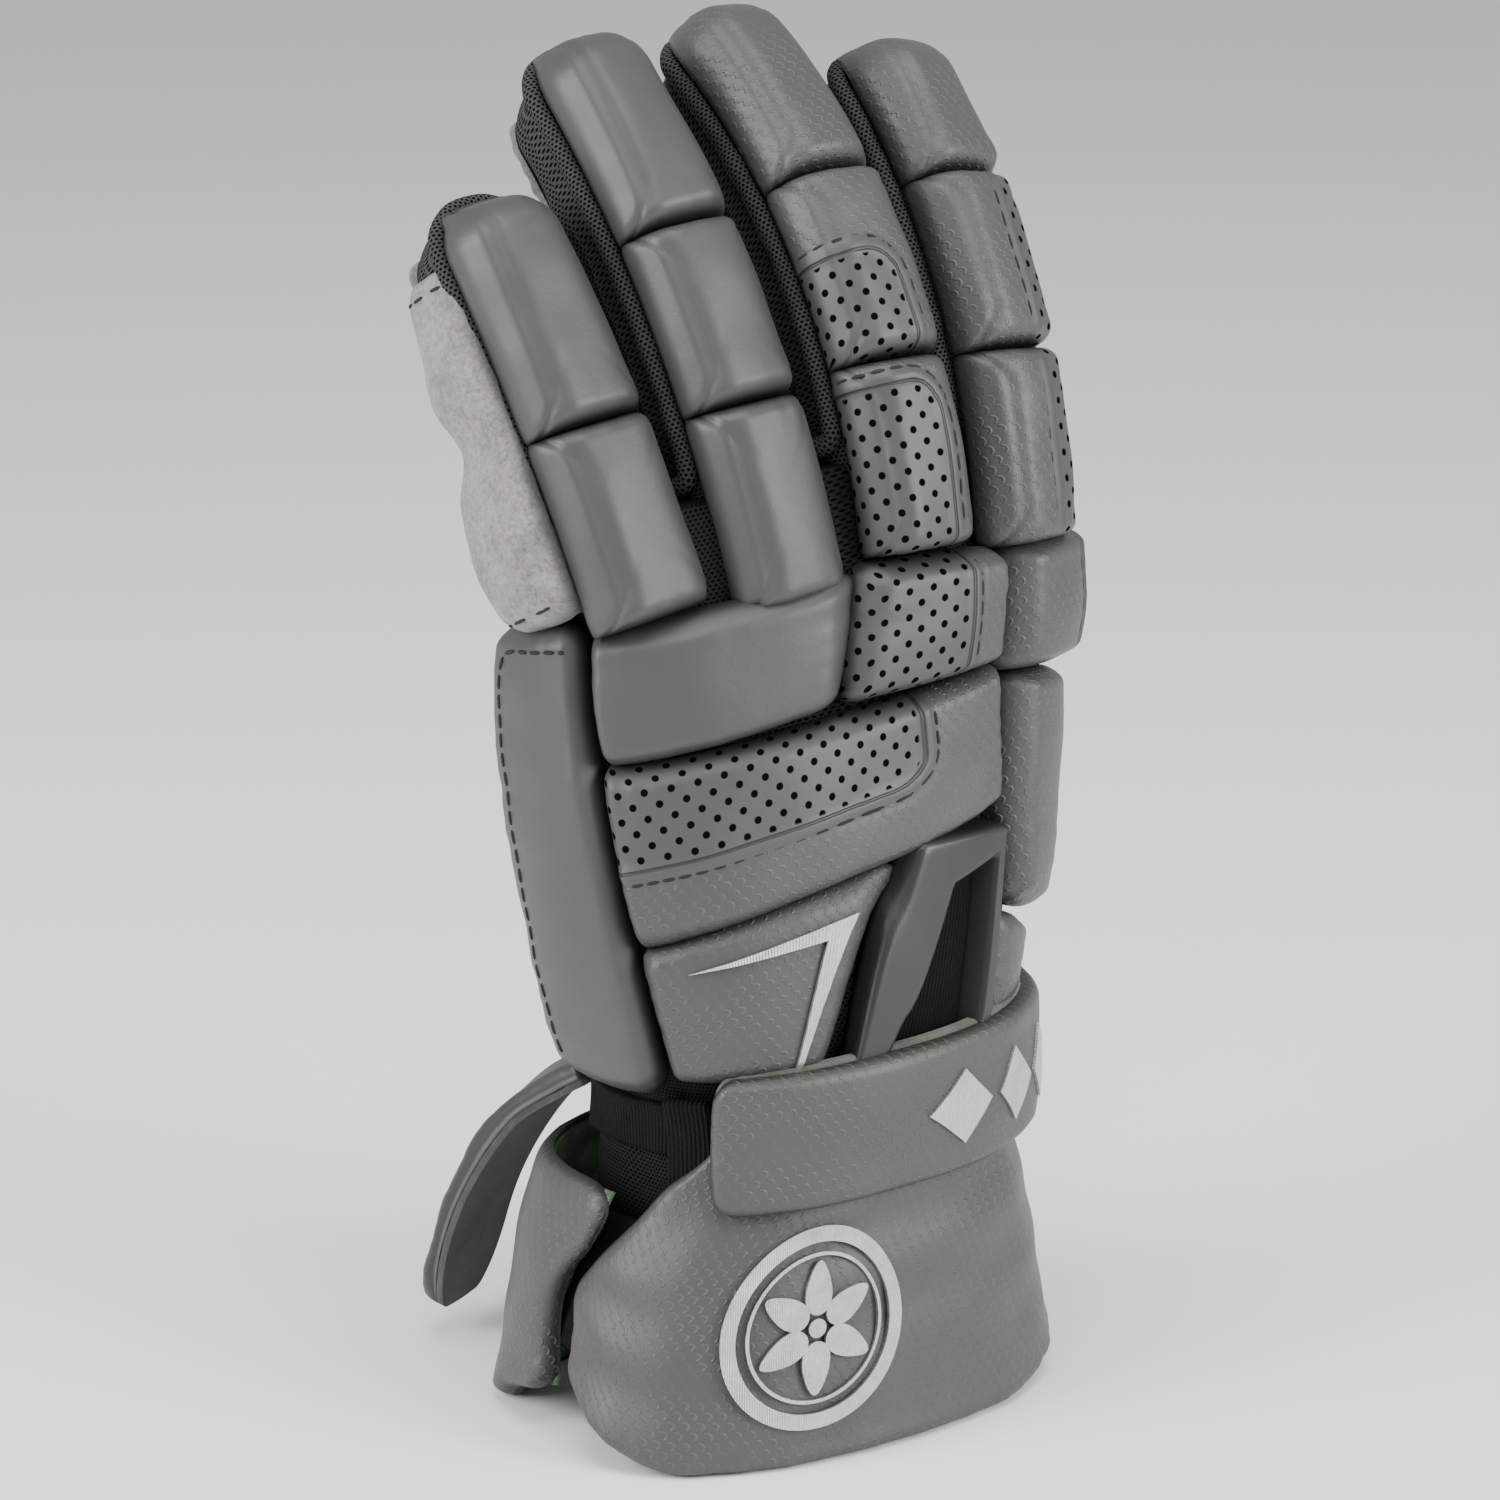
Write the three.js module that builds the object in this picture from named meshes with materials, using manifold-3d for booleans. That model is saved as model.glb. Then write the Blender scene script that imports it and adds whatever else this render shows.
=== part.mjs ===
// Padded lacrosse glove for the left hand, standing on its cuff.
// Millimetres, +Z up. The back of the hand faces -Y, the thumb side is +X and the little finger is at -X.
// The origin is on the floor, under the middle of the glove's bounding box.
import * as THREE from "three";
import { mergeVertices } from "three/addons/utils/BufferGeometryUtils.js";
import Module from "manifold-3d";

const wasm = await Module();
wasm.setup();

// Driving dimensions of the hand shell
const wristHeight = 60; // floor to the middle of the wrist strap's lower edge
const handLength = 164; // from there to the deck that the fingers rise from
const palmWidth = 120;
const palmDepth = 74;
const knuckleRise = 21; // how much higher the deck is at the thumb side than at the little finger
const shellWall = 2;
const sewnGap = 0.35; // clearance between pieces that are sewn or seated on each other

// Driving dimensions of the fingers
const longestFinger = 126.5;
const fingerWidth = 26;
const fingerDepth = 28;
const fingerWall = 1.8;
const tipDome = 14; // length over which a finger stall rounds off
const suedeThickness = 1.4;

// Driving dimensions of the pads
const fingerPadWidth = 27.5;
const fingerPadThickness = 10.5;
const tipTaper = 0.2; // share of its face's width that a fingertip's pad loses along its length
const padSeam = 1.6; // thickness left at a pad's sewn edge

// Driving dimensions of the cuff, strap and trim
const cuffTop = wristHeight + 24; // floor to the top of the front cuff flap
const sideCuffTop = wristHeight + 1;
const cuffFlareWide = 20.5;
const cuffFlareDeep = 12.5;
const cuffShift = 6; // how far the cuff's foot sits toward the little finger
const cuffThickness = 7;
const strapWidth = 120; // across the strap's outer faces
const strapDepth = 96;
const strapHeight = 33;
const strapThickness = 7;
const strapClimb = 5; // how much the strap climbs on its way round
const bandThickness = 1.6; // elastic
const keeperThickness = 3;
const tabStart = 13; // height over the wrist where the strap's loose end hangs down
const tabLength = 70;
const tabWidth = 30;
const tabThickness = 8;
const badgeRadius = 23;
const trimThickness = 1.1;
const sideThickness = 12; // padding on the little finger's outer side
const guardThickness = 8;

const degrees = Math.PI / 180;
const lerp = (a, b, t) => a + (b - a) * t;
const clamp = (x, low, high) => Math.min(high, Math.max(low, x));
const signedPower = (x, p) => Math.sign(x) * Math.abs(x) ** p;
const spread = (count) => Array.from({ length: count + 1 }, (_, i) => i / count);

// Smooth value of one column of a table whose rows are in order of their "at" column.
function along(rows, at, column) {
  const last = rows.length - 1;
  const x = clamp(at, rows[0].at, rows[last].at);
  let i = 0;
  while (i < last - 1 && x > rows[i + 1].at) i += 1;
  const slope = (a, b) => (rows[b][column] - rows[a][column]) / (rows[b].at - rows[a].at);
  const step = rows[i + 1].at - rows[i].at;
  const chord = rows[i + 1][column] - rows[i][column];
  const before = i > 0 ? slope(i - 1, i + 1) : slope(i, i + 1);
  const after = i < last - 1 ? slope(i, i + 2) : slope(i, i + 1);
  const t = (x - rows[i].at) / step;
  const bend = t * (1 - t) * ((1 - t) * (before * step - chord) - t * (after * step - chord));
  return rows[i][column] + chord * t + bend;
}

// Sections of the hand shell. "at" is a share of the hand's length above the wrist, side and width are shares
// of half the palm's width, back and depth shares of half its depth, and turn is in degrees.
const handSections = [
  { at: -0.12, side: 0, back: 0, width: 0.79, depth: 0.96, turn: 0 },
  { at: 0.1, side: 0, back: 0, width: 0.77, depth: 0.94, turn: 0 },
  { at: 0.22, side: 0, back: 0.02, width: 0.86, depth: 1.0, turn: 0 },
  { at: 0.45, side: 0.01, back: 0.12, width: 0.96, depth: 1.0, turn: -3 },
  { at: 0.7, side: 0.04, back: 0.21, width: 1.03, depth: 0.93, turn: -6 },
  { at: 0.9, side: 0.05, back: 0.2, width: 1.03, depth: 0.8, turn: -8 },
  { at: 1, side: 0.03, back: 0.13, width: 0.97, depth: 0.61, turn: -8 },
];
const handRoundness = 2.5;

// A point on a rounded section: angle 0 is the back of the hand and -90 the little-finger side.
function sectionPoint(angle, wide, deep, roundness) {
  const power = 2 / roundness;
  const x = wide * signedPower(Math.sin(angle * degrees), power);
  const y = -deep * signedPower(Math.cos(angle * degrees), power);
  return [x, y];
}

// A point on the hand shell grown by "out", at an angle and a share of the hand's length.
function handPoint(angle, up, out) {
  const half = palmWidth / 2;
  const deep = palmDepth / 2;
  const section = (column) => along(handSections, up, column);
  const wide = half * section("width") + out;
  const [x, y] = sectionPoint(angle, wide, deep * section("depth") + out, handRoundness);
  const turn = section("turn") * degrees;
  const px = x * Math.cos(turn) - y * Math.sin(turn) + half * section("side");
  const py = x * Math.sin(turn) + y * Math.cos(turn) + deep * section("back");
  const climb = knuckleRise * (px / palmWidth) * clamp(up, 0, 1);
  return new THREE.Vector3(px, py, wristHeight + up * handLength + climb);
}

// The fingers: side, back and up place the base as shares of half the palm's width, half its depth and the
// hand's length, length is a share of the longest finger, thick is a share of a finger's width and depth,
// and lean, bend, splay and roll are in degrees.
const fingers = {
  little: { side: -0.792, back: 0.12, up: 0.863, length: 0.772, lean: 21, bend: 13, splay: -6.8 },
  ring: { side: -0.274, back: -0.1, up: 0.879, length: 0.99, lean: 14.6, bend: 31.5, splay: -4.4 },
  middle: { side: 0.243, back: -0.35, up: 0.88, length: 1, lean: 8.2, bend: 53, splay: -0.8 },
  index: { side: 0.741, back: -0.338, up: 0.838, length: 0.889, lean: 7.3, bend: 43, splay: 1.6, roll: -12 },
  thumb: {
    side: 0.55, back: 0.9, up: 0.3, length: 0.9, lean: 28, bend: 16, splay: 20, roll: -62, thick: 1.12,
  },
};
const fingerRoundness = 3;

// Position and directions of a finger at a distance along it: out is the padded side, across the width.
function fingerFrame(finger, s) {
  const f = fingers[finger];
  const length = longestFinger * f.length;
  const start = f.lean * degrees;
  const turn = (f.bend * degrees) / length;
  const lean = start + turn * s;
  const y = (Math.cos(start) - Math.cos(lean)) / turn;
  const z = (Math.sin(lean) - Math.sin(start)) / turn;
  const splay = new THREE.Matrix4().makeRotationY(f.splay * degrees);
  const base = new THREE.Vector3(
    (palmWidth / 2) * f.side,
    (palmDepth / 2) * f.back,
    wristHeight + handLength * f.up + knuckleRise * (f.side / 2),
  );
  const centre = new THREE.Vector3(0, y, z).applyMatrix4(splay).add(base);
  const tangent = new THREE.Vector3(0, Math.sin(lean), Math.cos(lean)).applyMatrix4(splay);
  const sideways = new THREE.Vector3(1, 0, 0).applyMatrix4(splay);
  const outward = new THREE.Vector3().crossVectors(sideways, tangent);
  const roll = -(f.roll ?? 0) * degrees;
  return {
    centre,
    across: sideways.applyAxisAngle(tangent, roll),
    out: outward.applyAxisAngle(tangent, roll),
  };
}
const lengthOf = (finger) => longestFinger * fingers[finger].length;
const thickOf = (finger) => fingers[finger].thick ?? 1;
const halfWidthOf = (finger) => (fingerWidth / 2) * thickOf(finger);
const halfDepthOf = (finger) => (fingerDepth / 2) * thickOf(finger);

// A point at a width and a height over the finger's middle line.
function fingerSpot(finger, s, wide, high) {
  const frame = fingerFrame(finger, s);
  return frame.centre.addScaledVector(frame.across, wide).addScaledVector(frame.out, high);
}

// A point on a finger stall grown by "out": angle 0 is the padded side.
function fingerPoint(finger, angle, s, out) {
  const t = clamp((s - (lengthOf(finger) + out - tipDome)) / tipDome, 0, 1);
  const share = Math.sqrt(Math.max(1 - t * t, 0));
  const wide = (halfWidthOf(finger) + out) * share;
  const deep = (halfDepthOf(finger) + out) * share;
  const [x, y] = sectionPoint(angle, wide, deep, fingerRoundness);
  return fingerSpot(finger, s, x, -y);
}

// Growth of the cuff below the strap, as a share of its full flare. "at" is a share of the cuff's height.
const cuffFlares = [
  { at: 0, flare: 1 },
  { at: 0.12, flare: 0.86 },
  { at: 0.3, flare: 0.66 },
  { at: 0.5, flare: 0.45 },
  { at: 0.66, flare: 0.22 },
  { at: 0.8, flare: 0.03 },
  { at: 1, flare: 0 },
];

// A point on the cuff's outer form, grown by "out".
function cuffPoint(angle, z, out) {
  const flare = along(cuffFlares, z / cuffTop, "flare");
  const wide = strapWidth / 2 - strapThickness - 2 * sewnGap + cuffFlareWide * flare + out;
  const deep = strapDepth / 2 - strapThickness - 2 * sewnGap + cuffFlareDeep * flare + out;
  const [x, y] = sectionPoint(angle, wide, deep, handRoundness);
  return new THREE.Vector3(x - cuffShift * flare, y, z);
}

// Builds a mesh geometry from points and triangles, facing out.
function closedGeometry(points, triangles) {
  const geometry = new THREE.BufferGeometry().setFromPoints(points);
  let volume = 0;
  for (const [a, b, c] of triangles) {
    volume += points[a].dot(new THREE.Vector3().crossVectors(points[b], points[c]));
  }
  const order = volume < 0 ? triangles.map(([a, b, c]) => [a, c, b]) : triangles;
  geometry.setIndex(order.flat());
  return geometry;
}

// A closed piece between an outer and an inner face, both functions of u and v, sampled at us and vs.
function padGeometry(outer, inner, us, vs) {
  const points = [];
  for (const face of [outer, inner]) {
    for (const v of vs) {
      for (const u of us) points.push(face(u, v));
    }
  }
  const columns = us.length;
  const rows = vs.length;
  const under = columns * rows;
  const triangles = [];
  const quad = (a, b, c, d) => triangles.push([a, b, c], [a, c, d]);
  for (let j = 0; j < rows - 1; j += 1) {
    for (let i = 0; i < columns - 1; i += 1) {
      const at = j * columns + i;
      quad(at, at + 1, at + columns + 1, at + columns);
      quad(under + at, under + at + columns, under + at + columns + 1, under + at + 1);
    }
    const left = j * columns;
    const right = left + columns - 1;
    quad(left, left + columns, under + left + columns, under + left);
    quad(right + columns, right, under + right, under + right + columns);
  }
  const lastRow = (rows - 1) * columns;
  for (let i = 0; i < columns - 1; i += 1) {
    quad(i + 1, i, under + i, under + i + 1);
    quad(lastRow + i, lastRow + i + 1, under + lastRow + i + 1, under + lastRow + i);
  }
  return closedGeometry(points, triangles);
}

// A closed body through rings of points, with a flat fan over each end.
function ringGeometry(ringPoint, turns, steps) {
  const points = [];
  for (const step of steps) {
    for (let i = 0; i < turns; i += 1) points.push(ringPoint((i / turns) * 360, step));
  }
  const middle = (row) => {
    const sum = new THREE.Vector3();
    for (let i = 0; i < turns; i += 1) sum.add(points[row * turns + i]);
    return sum.divideScalar(turns);
  };
  points.push(middle(0), middle(steps.length - 1));
  const lastRow = (steps.length - 1) * turns;
  const [lowEnd, highEnd] = [points.length - 2, points.length - 1];
  const triangles = [];
  for (let i = 0; i < turns; i += 1) {
    const next = (i + 1) % turns;
    for (let row = 0; row < lastRow; row += turns) {
      triangles.push([row + i, row + next, row + turns + next]);
      triangles.push([row + i, row + turns + next, row + turns + i]);
    }
    triangles.push([next, i, lowEnd]);
    triangles.push([lastRow + i, lastRow + next, highEnd]);
  }
  return closedGeometry(points, triangles);
}

// Geometry to solid and back, for joining pieces and cutting one by another.
function solidOf(geometry) {
  const plain = geometry.clone();
  for (const name of Object.keys(plain.attributes)) {
    if (name !== "position") plain.deleteAttribute(name);
  }
  const merged = mergeVertices(plain, 1e-3);
  const mesh = new wasm.Mesh({
    numProp: 3,
    vertProperties: merged.attributes.position.array,
    triVerts: new Uint32Array(merged.index.array),
  });
  return new wasm.Manifold(mesh);
}
function geometryOf(solid) {
  const mesh = solid.getMesh();
  const positions = new Float32Array(mesh.numVert * 3);
  for (let i = 0; i < mesh.numVert; i += 1) {
    for (let k = 0; k < 3; k += 1) positions[i * 3 + k] = mesh.vertProperties[i * mesh.numProp + k];
  }
  const geometry = new THREE.BufferGeometry();
  geometry.setAttribute("position", new THREE.BufferAttribute(positions, 3));
  geometry.setIndex(Array.from(mesh.triVerts));
  return geometry;
}
function cut(geometry, ...others) {
  let solid = solidOf(geometry);
  for (const other of others) solid = solid.subtract(solidOf(other));
  const parts = solid.decompose();
  parts.sort((a, b) => b.volume() - a.volume());
  return geometryOf(parts[0]);
}
function join(first, ...others) {
  let solid = solidOf(first);
  for (const other of others) solid = solid.add(solidOf(other));
  return geometryOf(solid);
}

// The hand shell's outer form grown by a distance, its hollow, and the same for a finger
const shellTurns = 20;
const shellLow = -0.12;
const wristSeam = 0.22; // where the wrist's mesh is sewn to the hand's
const knuckleSeam = 0.65; // where the hand's mesh is sewn to the knuckles'
const fingerTurns = 12;
const hollowTurns = 8;
function handForm(grow, from = shellLow, to = 1 + grow / handLength) {
  const between = [0.1, wristSeam, 0.4, knuckleSeam, 0.9].filter((up) => up > from && up < to);
  return ringGeometry((angle, up) => handPoint(angle, up, grow), shellTurns, [from, ...between, to]);
}
function handHollow() {
  const top = 1 - (3 * shellWall) / handLength;
  const steps = [shellLow - 0.01, 0.1, wristSeam, 0.45, 0.9, top];
  return ringGeometry((angle, up) => handPoint(angle, up, -shellWall), shellTurns, steps);
}
function fingerForm(finger, grow, from, turns = fingerTurns) {
  const dome = lengthOf(finger) + grow - tipDome;
  const straight = spread(4).map((t) => lerp(from, dome, t));
  const rounded = [0.6, 0.92].map((t) => dome + tipDome * t);
  return ringGeometry((angle, s) => fingerPoint(finger, angle, s, grow), turns, [...straight, ...rounded]);
}

// Height of a pad over its bed, as a share of its full height, at a place from -1 to 1 across it.
const crownRows = [
  { at: 0, share: 1 },
  { at: 0.55, share: 0.98 },
  { at: 0.82, share: 0.9 },
  { at: 0.95, share: 0.6 },
  { at: 1, share: 0.1 },
];
const crown = (place) => along(crownRows, Math.abs(place), "share");
const padPlaces = [-1, -0.95, -0.75, 0, 0.75, 0.95, 1];
const widePlaces = [-1, -0.97, -0.85, -0.5, 0, 0.5, 0.85, 0.97, 1];

// Place on a four-cornered patch with rounded corners. Corners are [angle, up] at low left, low right,
// top right and top left; a roundness of 0 keeps them sharp and 1 makes a disc.
function patchPlace(corners, p, q, roundness) {
  const x = (p * Math.sqrt(1 - (roundness * q * q) / 2) + 1) / 2;
  const y = (q * Math.sqrt(1 - (roundness * p * p) / 2) + 1) / 2;
  const [a, b, c, d] = corners;
  return [0, 1].map((k) => lerp(lerp(a[k], b[k], x), lerp(d[k], c[k], x), y));
}
const padHeight = (thick, p, q) => Math.max(padSeam, thick * Math.sqrt(crown(p) * crown(q)));

// A pad on a surface, crowned unless it is "flat". "sink" lets its bed down into what it lies on, for cutting
// it to fit, and "grow" makes it larger all round, for cutting its neighbours clear of it.
const bedSink = 1.5;
function patchPad(pad, grow = 0) {
  const { corners, thick, roundness, surface = handPoint, lift = sewnGap } = pad;
  const { us = padPlaces, vs = padPlaces } = pad;
  const scale = grow > 0 ? 1.015 : 1;
  const spot = (p, q, out) => surface(...patchPlace(corners, p * scale, q * scale, roundness), out);
  const height = pad.flat ? () => thick : (p, q) => padHeight(thick, p, q);
  const top = (p, q) => spot(p, q, lift + height(p, q) + grow);
  const bed = (p, q) => spot(p, q, lift - (pad.sink ?? 0) - grow);
  return padGeometry(top, bed, us, vs);
}

// A pad on a finger between two places, which are shares of the finger's length.
const fingerPadWrap = 50;
const fingerPadRoundness = 3.2;
const noseRoom = 1.6; // extra clearance under a pad over the rounded fingertip
const noseRounding = 0.85; // how far a tip pad's end closes in, as a share of the square of its size
const sideSeam = 1.2; // thickness left at a finger pad's long edges
function fingerPad({ finger, from, to, nose = 0, wide: widening = 1 }) {
  const length = lengthOf(finger);
  const [start, end] = [from * length, to * length];
  const taper = nose > 0 ? tipTaper : 0;
  const power = 2 / fingerPadRoundness;
  const footShare = Math.cos(fingerPadWrap * degrees) ** (2 / fingerRoundness);
  const sideShare = Math.sin(fingerPadWrap * degrees) ** (2 / fingerRoundness);
  const fullHeight = halfDepthOf(finger) * (1 - footShare) + fingerPadThickness;
  const fullWidth = (fingerPadWidth / 2) * thickOf(finger) * widening;
  const bedOut = (s) => 1.5 * sewnGap + noseRoom * clamp((s - (length - tipDome)) / tipDome, 0, 1);
  const top = (t, v) => {
    const s = lerp(start, end, v);
    const out = bedOut(s);
    const domed = clamp((s - (length + out - tipDome)) / tipDome, 0, 1);
    const share = Math.sqrt(1 - domed * domed);
    const past = nose > 0 ? clamp((s - (end - nose)) / nose, 0, 1) : 0;
    const noseShare = Math.sqrt(1 - noseRounding * past * past);
    const rise = crown(2 * v - 1);
    const foot = halfDepthOf(finger) * share * footShare;
    const leastWide = (halfWidthOf(finger) + out) * share * sideShare + sideSeam;
    const leastHigh = (halfDepthOf(finger) + out) * share - foot + padSeam;
    const wide = Math.max(fullWidth * lerp(0.9, 1, rise) * noseShare, leastWide);
    const high = Math.max(fullHeight * lerp(0.35, 1, rise) * noseShare, leastHigh);
    const turn = t * 90 * degrees;
    const upright = Math.max(Math.cos(turn), 0);
    const x = wide * signedPower(Math.sin(turn), power) * (1 - taper * v * Math.sqrt(upright));
    return fingerSpot(finger, s, x, foot + high * upright ** power);
  };
  const bed = (t, v) => {
    const s = Math.min(lerp(start, end, v), length - 1);
    return fingerPoint(finger, t * fingerPadWrap, s, bedOut(s));
  };
  const across = [-1, -0.8, -0.5, 0, 0.5, 0.8, 1];
  return padGeometry(top, bed, across, [0, 0.04, 0.15, 0.5, 0.85, 0.96, 1]);
}

// The pieces
const glove = new THREE.Group();
const finishes = {
  leather: { color: 0x7a7a7a, roughness: 0.5, metalness: 0 },
  embossed: { color: 0x838383, roughness: 0.55, metalness: 0 },
  mesh: { color: 0x3c3c3c, roughness: 0.85, metalness: 0 },
  suede: { color: 0xa8a8a0, roughness: 0.95, metalness: 0 },
  elastic: { color: 0x1c1c1d, roughness: 0.85, metalness: 0 },
  plastic: { color: 0x555555, roughness: 0.35, metalness: 0 },
  silver: { color: 0xc4c4c4, roughness: 0.35, metalness: 0.6 },
};
const materials = Object.fromEntries(
  Object.entries(finishes).map(([name, finish]) => [name, new THREE.MeshStandardMaterial(finish)]),
);
function add(name, geometry, finish) {
  const mesh = new THREE.Mesh(geometry, materials[finish]);
  mesh.name = name;
  glove.add(mesh);
}

// Strap round the wrist, thicker than the cuff's top and outside it
const strapPlaces = [-1, -0.97, -0.85, -0.5, -0.2, 0.15, 0.5, 0.85, 0.97, 1];
function strapPoint(angle, z, out) {
  const wide = strapWidth / 2 - strapThickness + out;
  const deep = strapDepth / 2 - strapThickness + out;
  const [x, y] = sectionPoint(angle, wide, deep, handRoundness);
  return new THREE.Vector3(x, y, z);
}
const strapEnds = [-52, 118];
const strapPiece = {
  corners: [
    [strapEnds[0], wristHeight - 2],
    [strapEnds[1], wristHeight + strapClimb],
    [strapEnds[1], wristHeight + strapClimb + strapHeight],
    [strapEnds[0], wristHeight + strapHeight - 2],
  ],
  thick: strapThickness,
  roundness: 0.06,
  surface: strapPoint,
  us: strapPlaces,
  lift: 0,
};

// Pads on the back and sides of the hand
const handPads = [
  { name: "knuckle_pad_outer", finish: "leather", thick: 10, roundness: 0.1, us: widePlaces,
    corners: [[-62, 0.668], [-5, 0.7], [-1, 0.872], [-62, 0.86]] },
  { name: "knuckle_pad_middle", finish: "embossed", thick: 12, roundness: 0.12,
    corners: [[-3.5, 0.7], [25, 0.692], [28, 0.84], [0.5, 0.875]] },
  { name: "knuckle_pad_index", finish: "embossed", thick: 14, roundness: 0.2,
    corners: [[27, 0.67], [66, 0.632], [68, 0.815], [30, 0.838]] },
  { name: "back_band", finish: "embossed", thick: 8.5, roundness: 0.05, us: widePlaces,
    corners: [[-64, 0.393], [29, 0.496], [29, 0.68], [-64, 0.655]] },
  { name: "wrist_pad", finish: "embossed", thick: 7, roundness: 0.06,
    corners: [[-64.5, 0.185], [-18, 0.19], [2.5, 0.46], [-64.5, 0.386]] },
  { name: "outer_flap", finish: "leather", thick: 8.5, roundness: 0.12,
    corners: [[-114, 0.14], [-68, 0.158], [-65.5, 0.875], [-106, 0.83]] },
  { name: "thumb_side_pad", finish: "embossed", thick: 11, roundness: 0.2,
    corners: [[31, 0.355], [58, 0.3], [72, 0.615], [31, 0.665]] },
  { name: "thumb_side_strip", finish: "embossed", thick: 6, roundness: 0.1,
    corners: [[25, 0.165], [56, 0.158], [58, 0.285], [30, 0.34]] },
];
const handPadNamed = (name) => handPads.find((pad) => pad.name === name);
const suedePlaces = spread(5).map((t) => 2 * t - 1);
const palmSuede = {
  corners: [[118, 0.17], [240, 0.17], [236, 0.9], [122, 0.9]],
  thick: suedeThickness,
  roundness: 0.1,
  us: suedePlaces,
  vs: suedePlaces,
};

// Pads along the fingers, from the knuckle to the tip
const fingerPads = [
  { name: "little_pad_lower", finger: "little", from: -0.035, to: 0.407, wide: 1.05, finish: "leather" },
  { name: "little_pad_tip", finger: "little", from: 0.412, to: 0.975, nose: 12, wide: 1.05, finish: "leather" },
  { name: "ring_pad_lower", finger: "ring", from: -0.065, to: 0.268, finish: "leather" },
  { name: "ring_pad_middle", finger: "ring", from: 0.273, to: 0.588, finish: "leather" },
  { name: "ring_pad_tip", finger: "ring", from: 0.593, to: 0.992, nose: 14, finish: "leather" },
  { name: "middle_pad_lower", finger: "middle", from: -0.03, to: 0.278, finish: "embossed" },
  { name: "middle_pad_middle", finger: "middle", from: 0.283, to: 0.6, finish: "embossed" },
  { name: "middle_pad_tip", finger: "middle", from: 0.605, to: 1.0, nose: 14, finish: "embossed" },
  { name: "index_pad_lower", finger: "index", from: -0.04, to: 0.318, finish: "embossed" },
  { name: "index_pad_middle", finger: "index", from: 0.323, to: 0.658, finish: "embossed" },
  { name: "index_pad_tip", finger: "index", from: 0.663, to: 1.0, nose: 14, finish: "embossed" },
  { name: "thumb_pad_lower", finger: "thumb", from: 0.24, to: 0.56, finish: "leather" },
  { name: "thumb_pad_tip", finger: "thumb", from: 0.565, to: 0.99, nose: 14, finish: "leather" },
];

// Wrist, hand and knuckle shells and finger stalls, open into each other
function addShell() {
  const hollow = (finger, from) => fingerForm(finger, -fingerWall, from, hollowTurns);
  const hollows = Object.keys(fingers).map((finger) => hollow(finger, 0));
  const seamGap = sewnGap / handLength;
  add("wrist_shell", cut(handForm(0, shellLow, wristSeam), handHollow()), "mesh");
  const middle = handForm(0, wristSeam + seamGap, knuckleSeam);
  add("hand_shell", cut(middle, handHollow(), hollow("thumb", 0)), "mesh");
  add("knuckle_shell", cut(handForm(0, knuckleSeam + seamGap), handHollow(), ...hollows), "mesh");
  const hand = handForm(sewnGap);
  for (const finger of Object.keys(fingers)) {
    add(`${finger}_stall`, cut(fingerForm(finger, 0, 0), hand, hollow(finger, -1)), "mesh");
  }
}

// Pieces lying on the hand are cut to fit its shell and clear of their neighbours.
const shellRoom = handForm(sewnGap);
const coarse = [-1, -0.5, 0, 0.5, 1];
function room(pad, us = coarse, vs = [-1, 0, 1]) {
  return patchPad({ ...pad, flat: true, roundness: 0, us, vs }, sewnGap);
}
const strapRoom = room({ ...strapPiece, lift: -sewnGap }, strapPlaces);
const fitted = (pad, ...others) => cut(patchPad({ ...pad, sink: bedSink }), shellRoom, ...others);
const palmRoom = () => patchPad(palmSuede, sewnGap);
const roomOf = (name) => room({ ...handPadNamed(name), sink: bedSink });

function addPads() {
  const clearances = {
    back_band: ["knuckle_pad_index", "knuckle_pad_outer", "knuckle_pad_middle"].map(roomOf),
    wrist_pad: [roomOf("back_band"), strapRoom],
    outer_flap: [fingerForm("little", 2 * sewnGap + suedeThickness, 0), strapRoom],
    thumb_side_strip: [strapRoom],
  };
  for (const pad of handPads) add(pad.name, fitted(pad, ...(clearances[pad.name] ?? [])), pad.finish);
  const knuckles = ["knuckle_pad_outer", "knuckle_pad_middle", "knuckle_pad_index"].map(roomOf);
  for (const pad of fingerPads) {
    const body = fingerPad(pad);
    const beside = pad.finger === "thumb" ? [palmRoom()] : knuckles;
    const atHand = pad.name.endsWith("lower");
    add(pad.name, atHand ? cut(body, shellRoom, ...beside) : body, pad.finish);
  }
}

// Guard on the wrist: two legs and a bar, over a dark backing
const guardParts = [
  [[-14, 0.15], [-5.5, 0.15], [11, 0.4], [3.5, 0.49]],
  [[10, 0.392], [26, 0.392], [28, 0.47], [4, 0.515]],
  [[15, 0.15], [20, 0.15], [29, 0.44], [24.5, 0.41]],
];
const guardPlaces = [-1, -0.85, 0.85, 1];
const guardPads = guardParts.map((corners) => ({
  corners,
  thick: guardThickness,
  roundness: 0.02,
  sink: bedSink,
  us: guardPlaces,
  vs: guardPlaces,
}));
const guardBacking = {
  corners: [[-10, 0.15], [19, 0.15], [28, 0.45], [4, 0.45]],
  thick: bandThickness,
  roundness: 0,
  sink: bedSink,
  us: guardPlaces,
  vs: guardPlaces,
};

function addGuard() {
  const around = [shellRoom, strapRoom, roomOf("back_band"), roomOf("wrist_pad")];
  const guard = join(...guardPads.map((pad) => patchPad(pad)));
  const rooms = guardPads.map((pad) => room(pad, guardPlaces, guardPlaces));
  add("wrist_guard", cut(guard, ...around), "plastic");
  add("guard_backing", cut(patchPad(guardBacking), ...around, ...rooms), "elastic");
}

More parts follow.
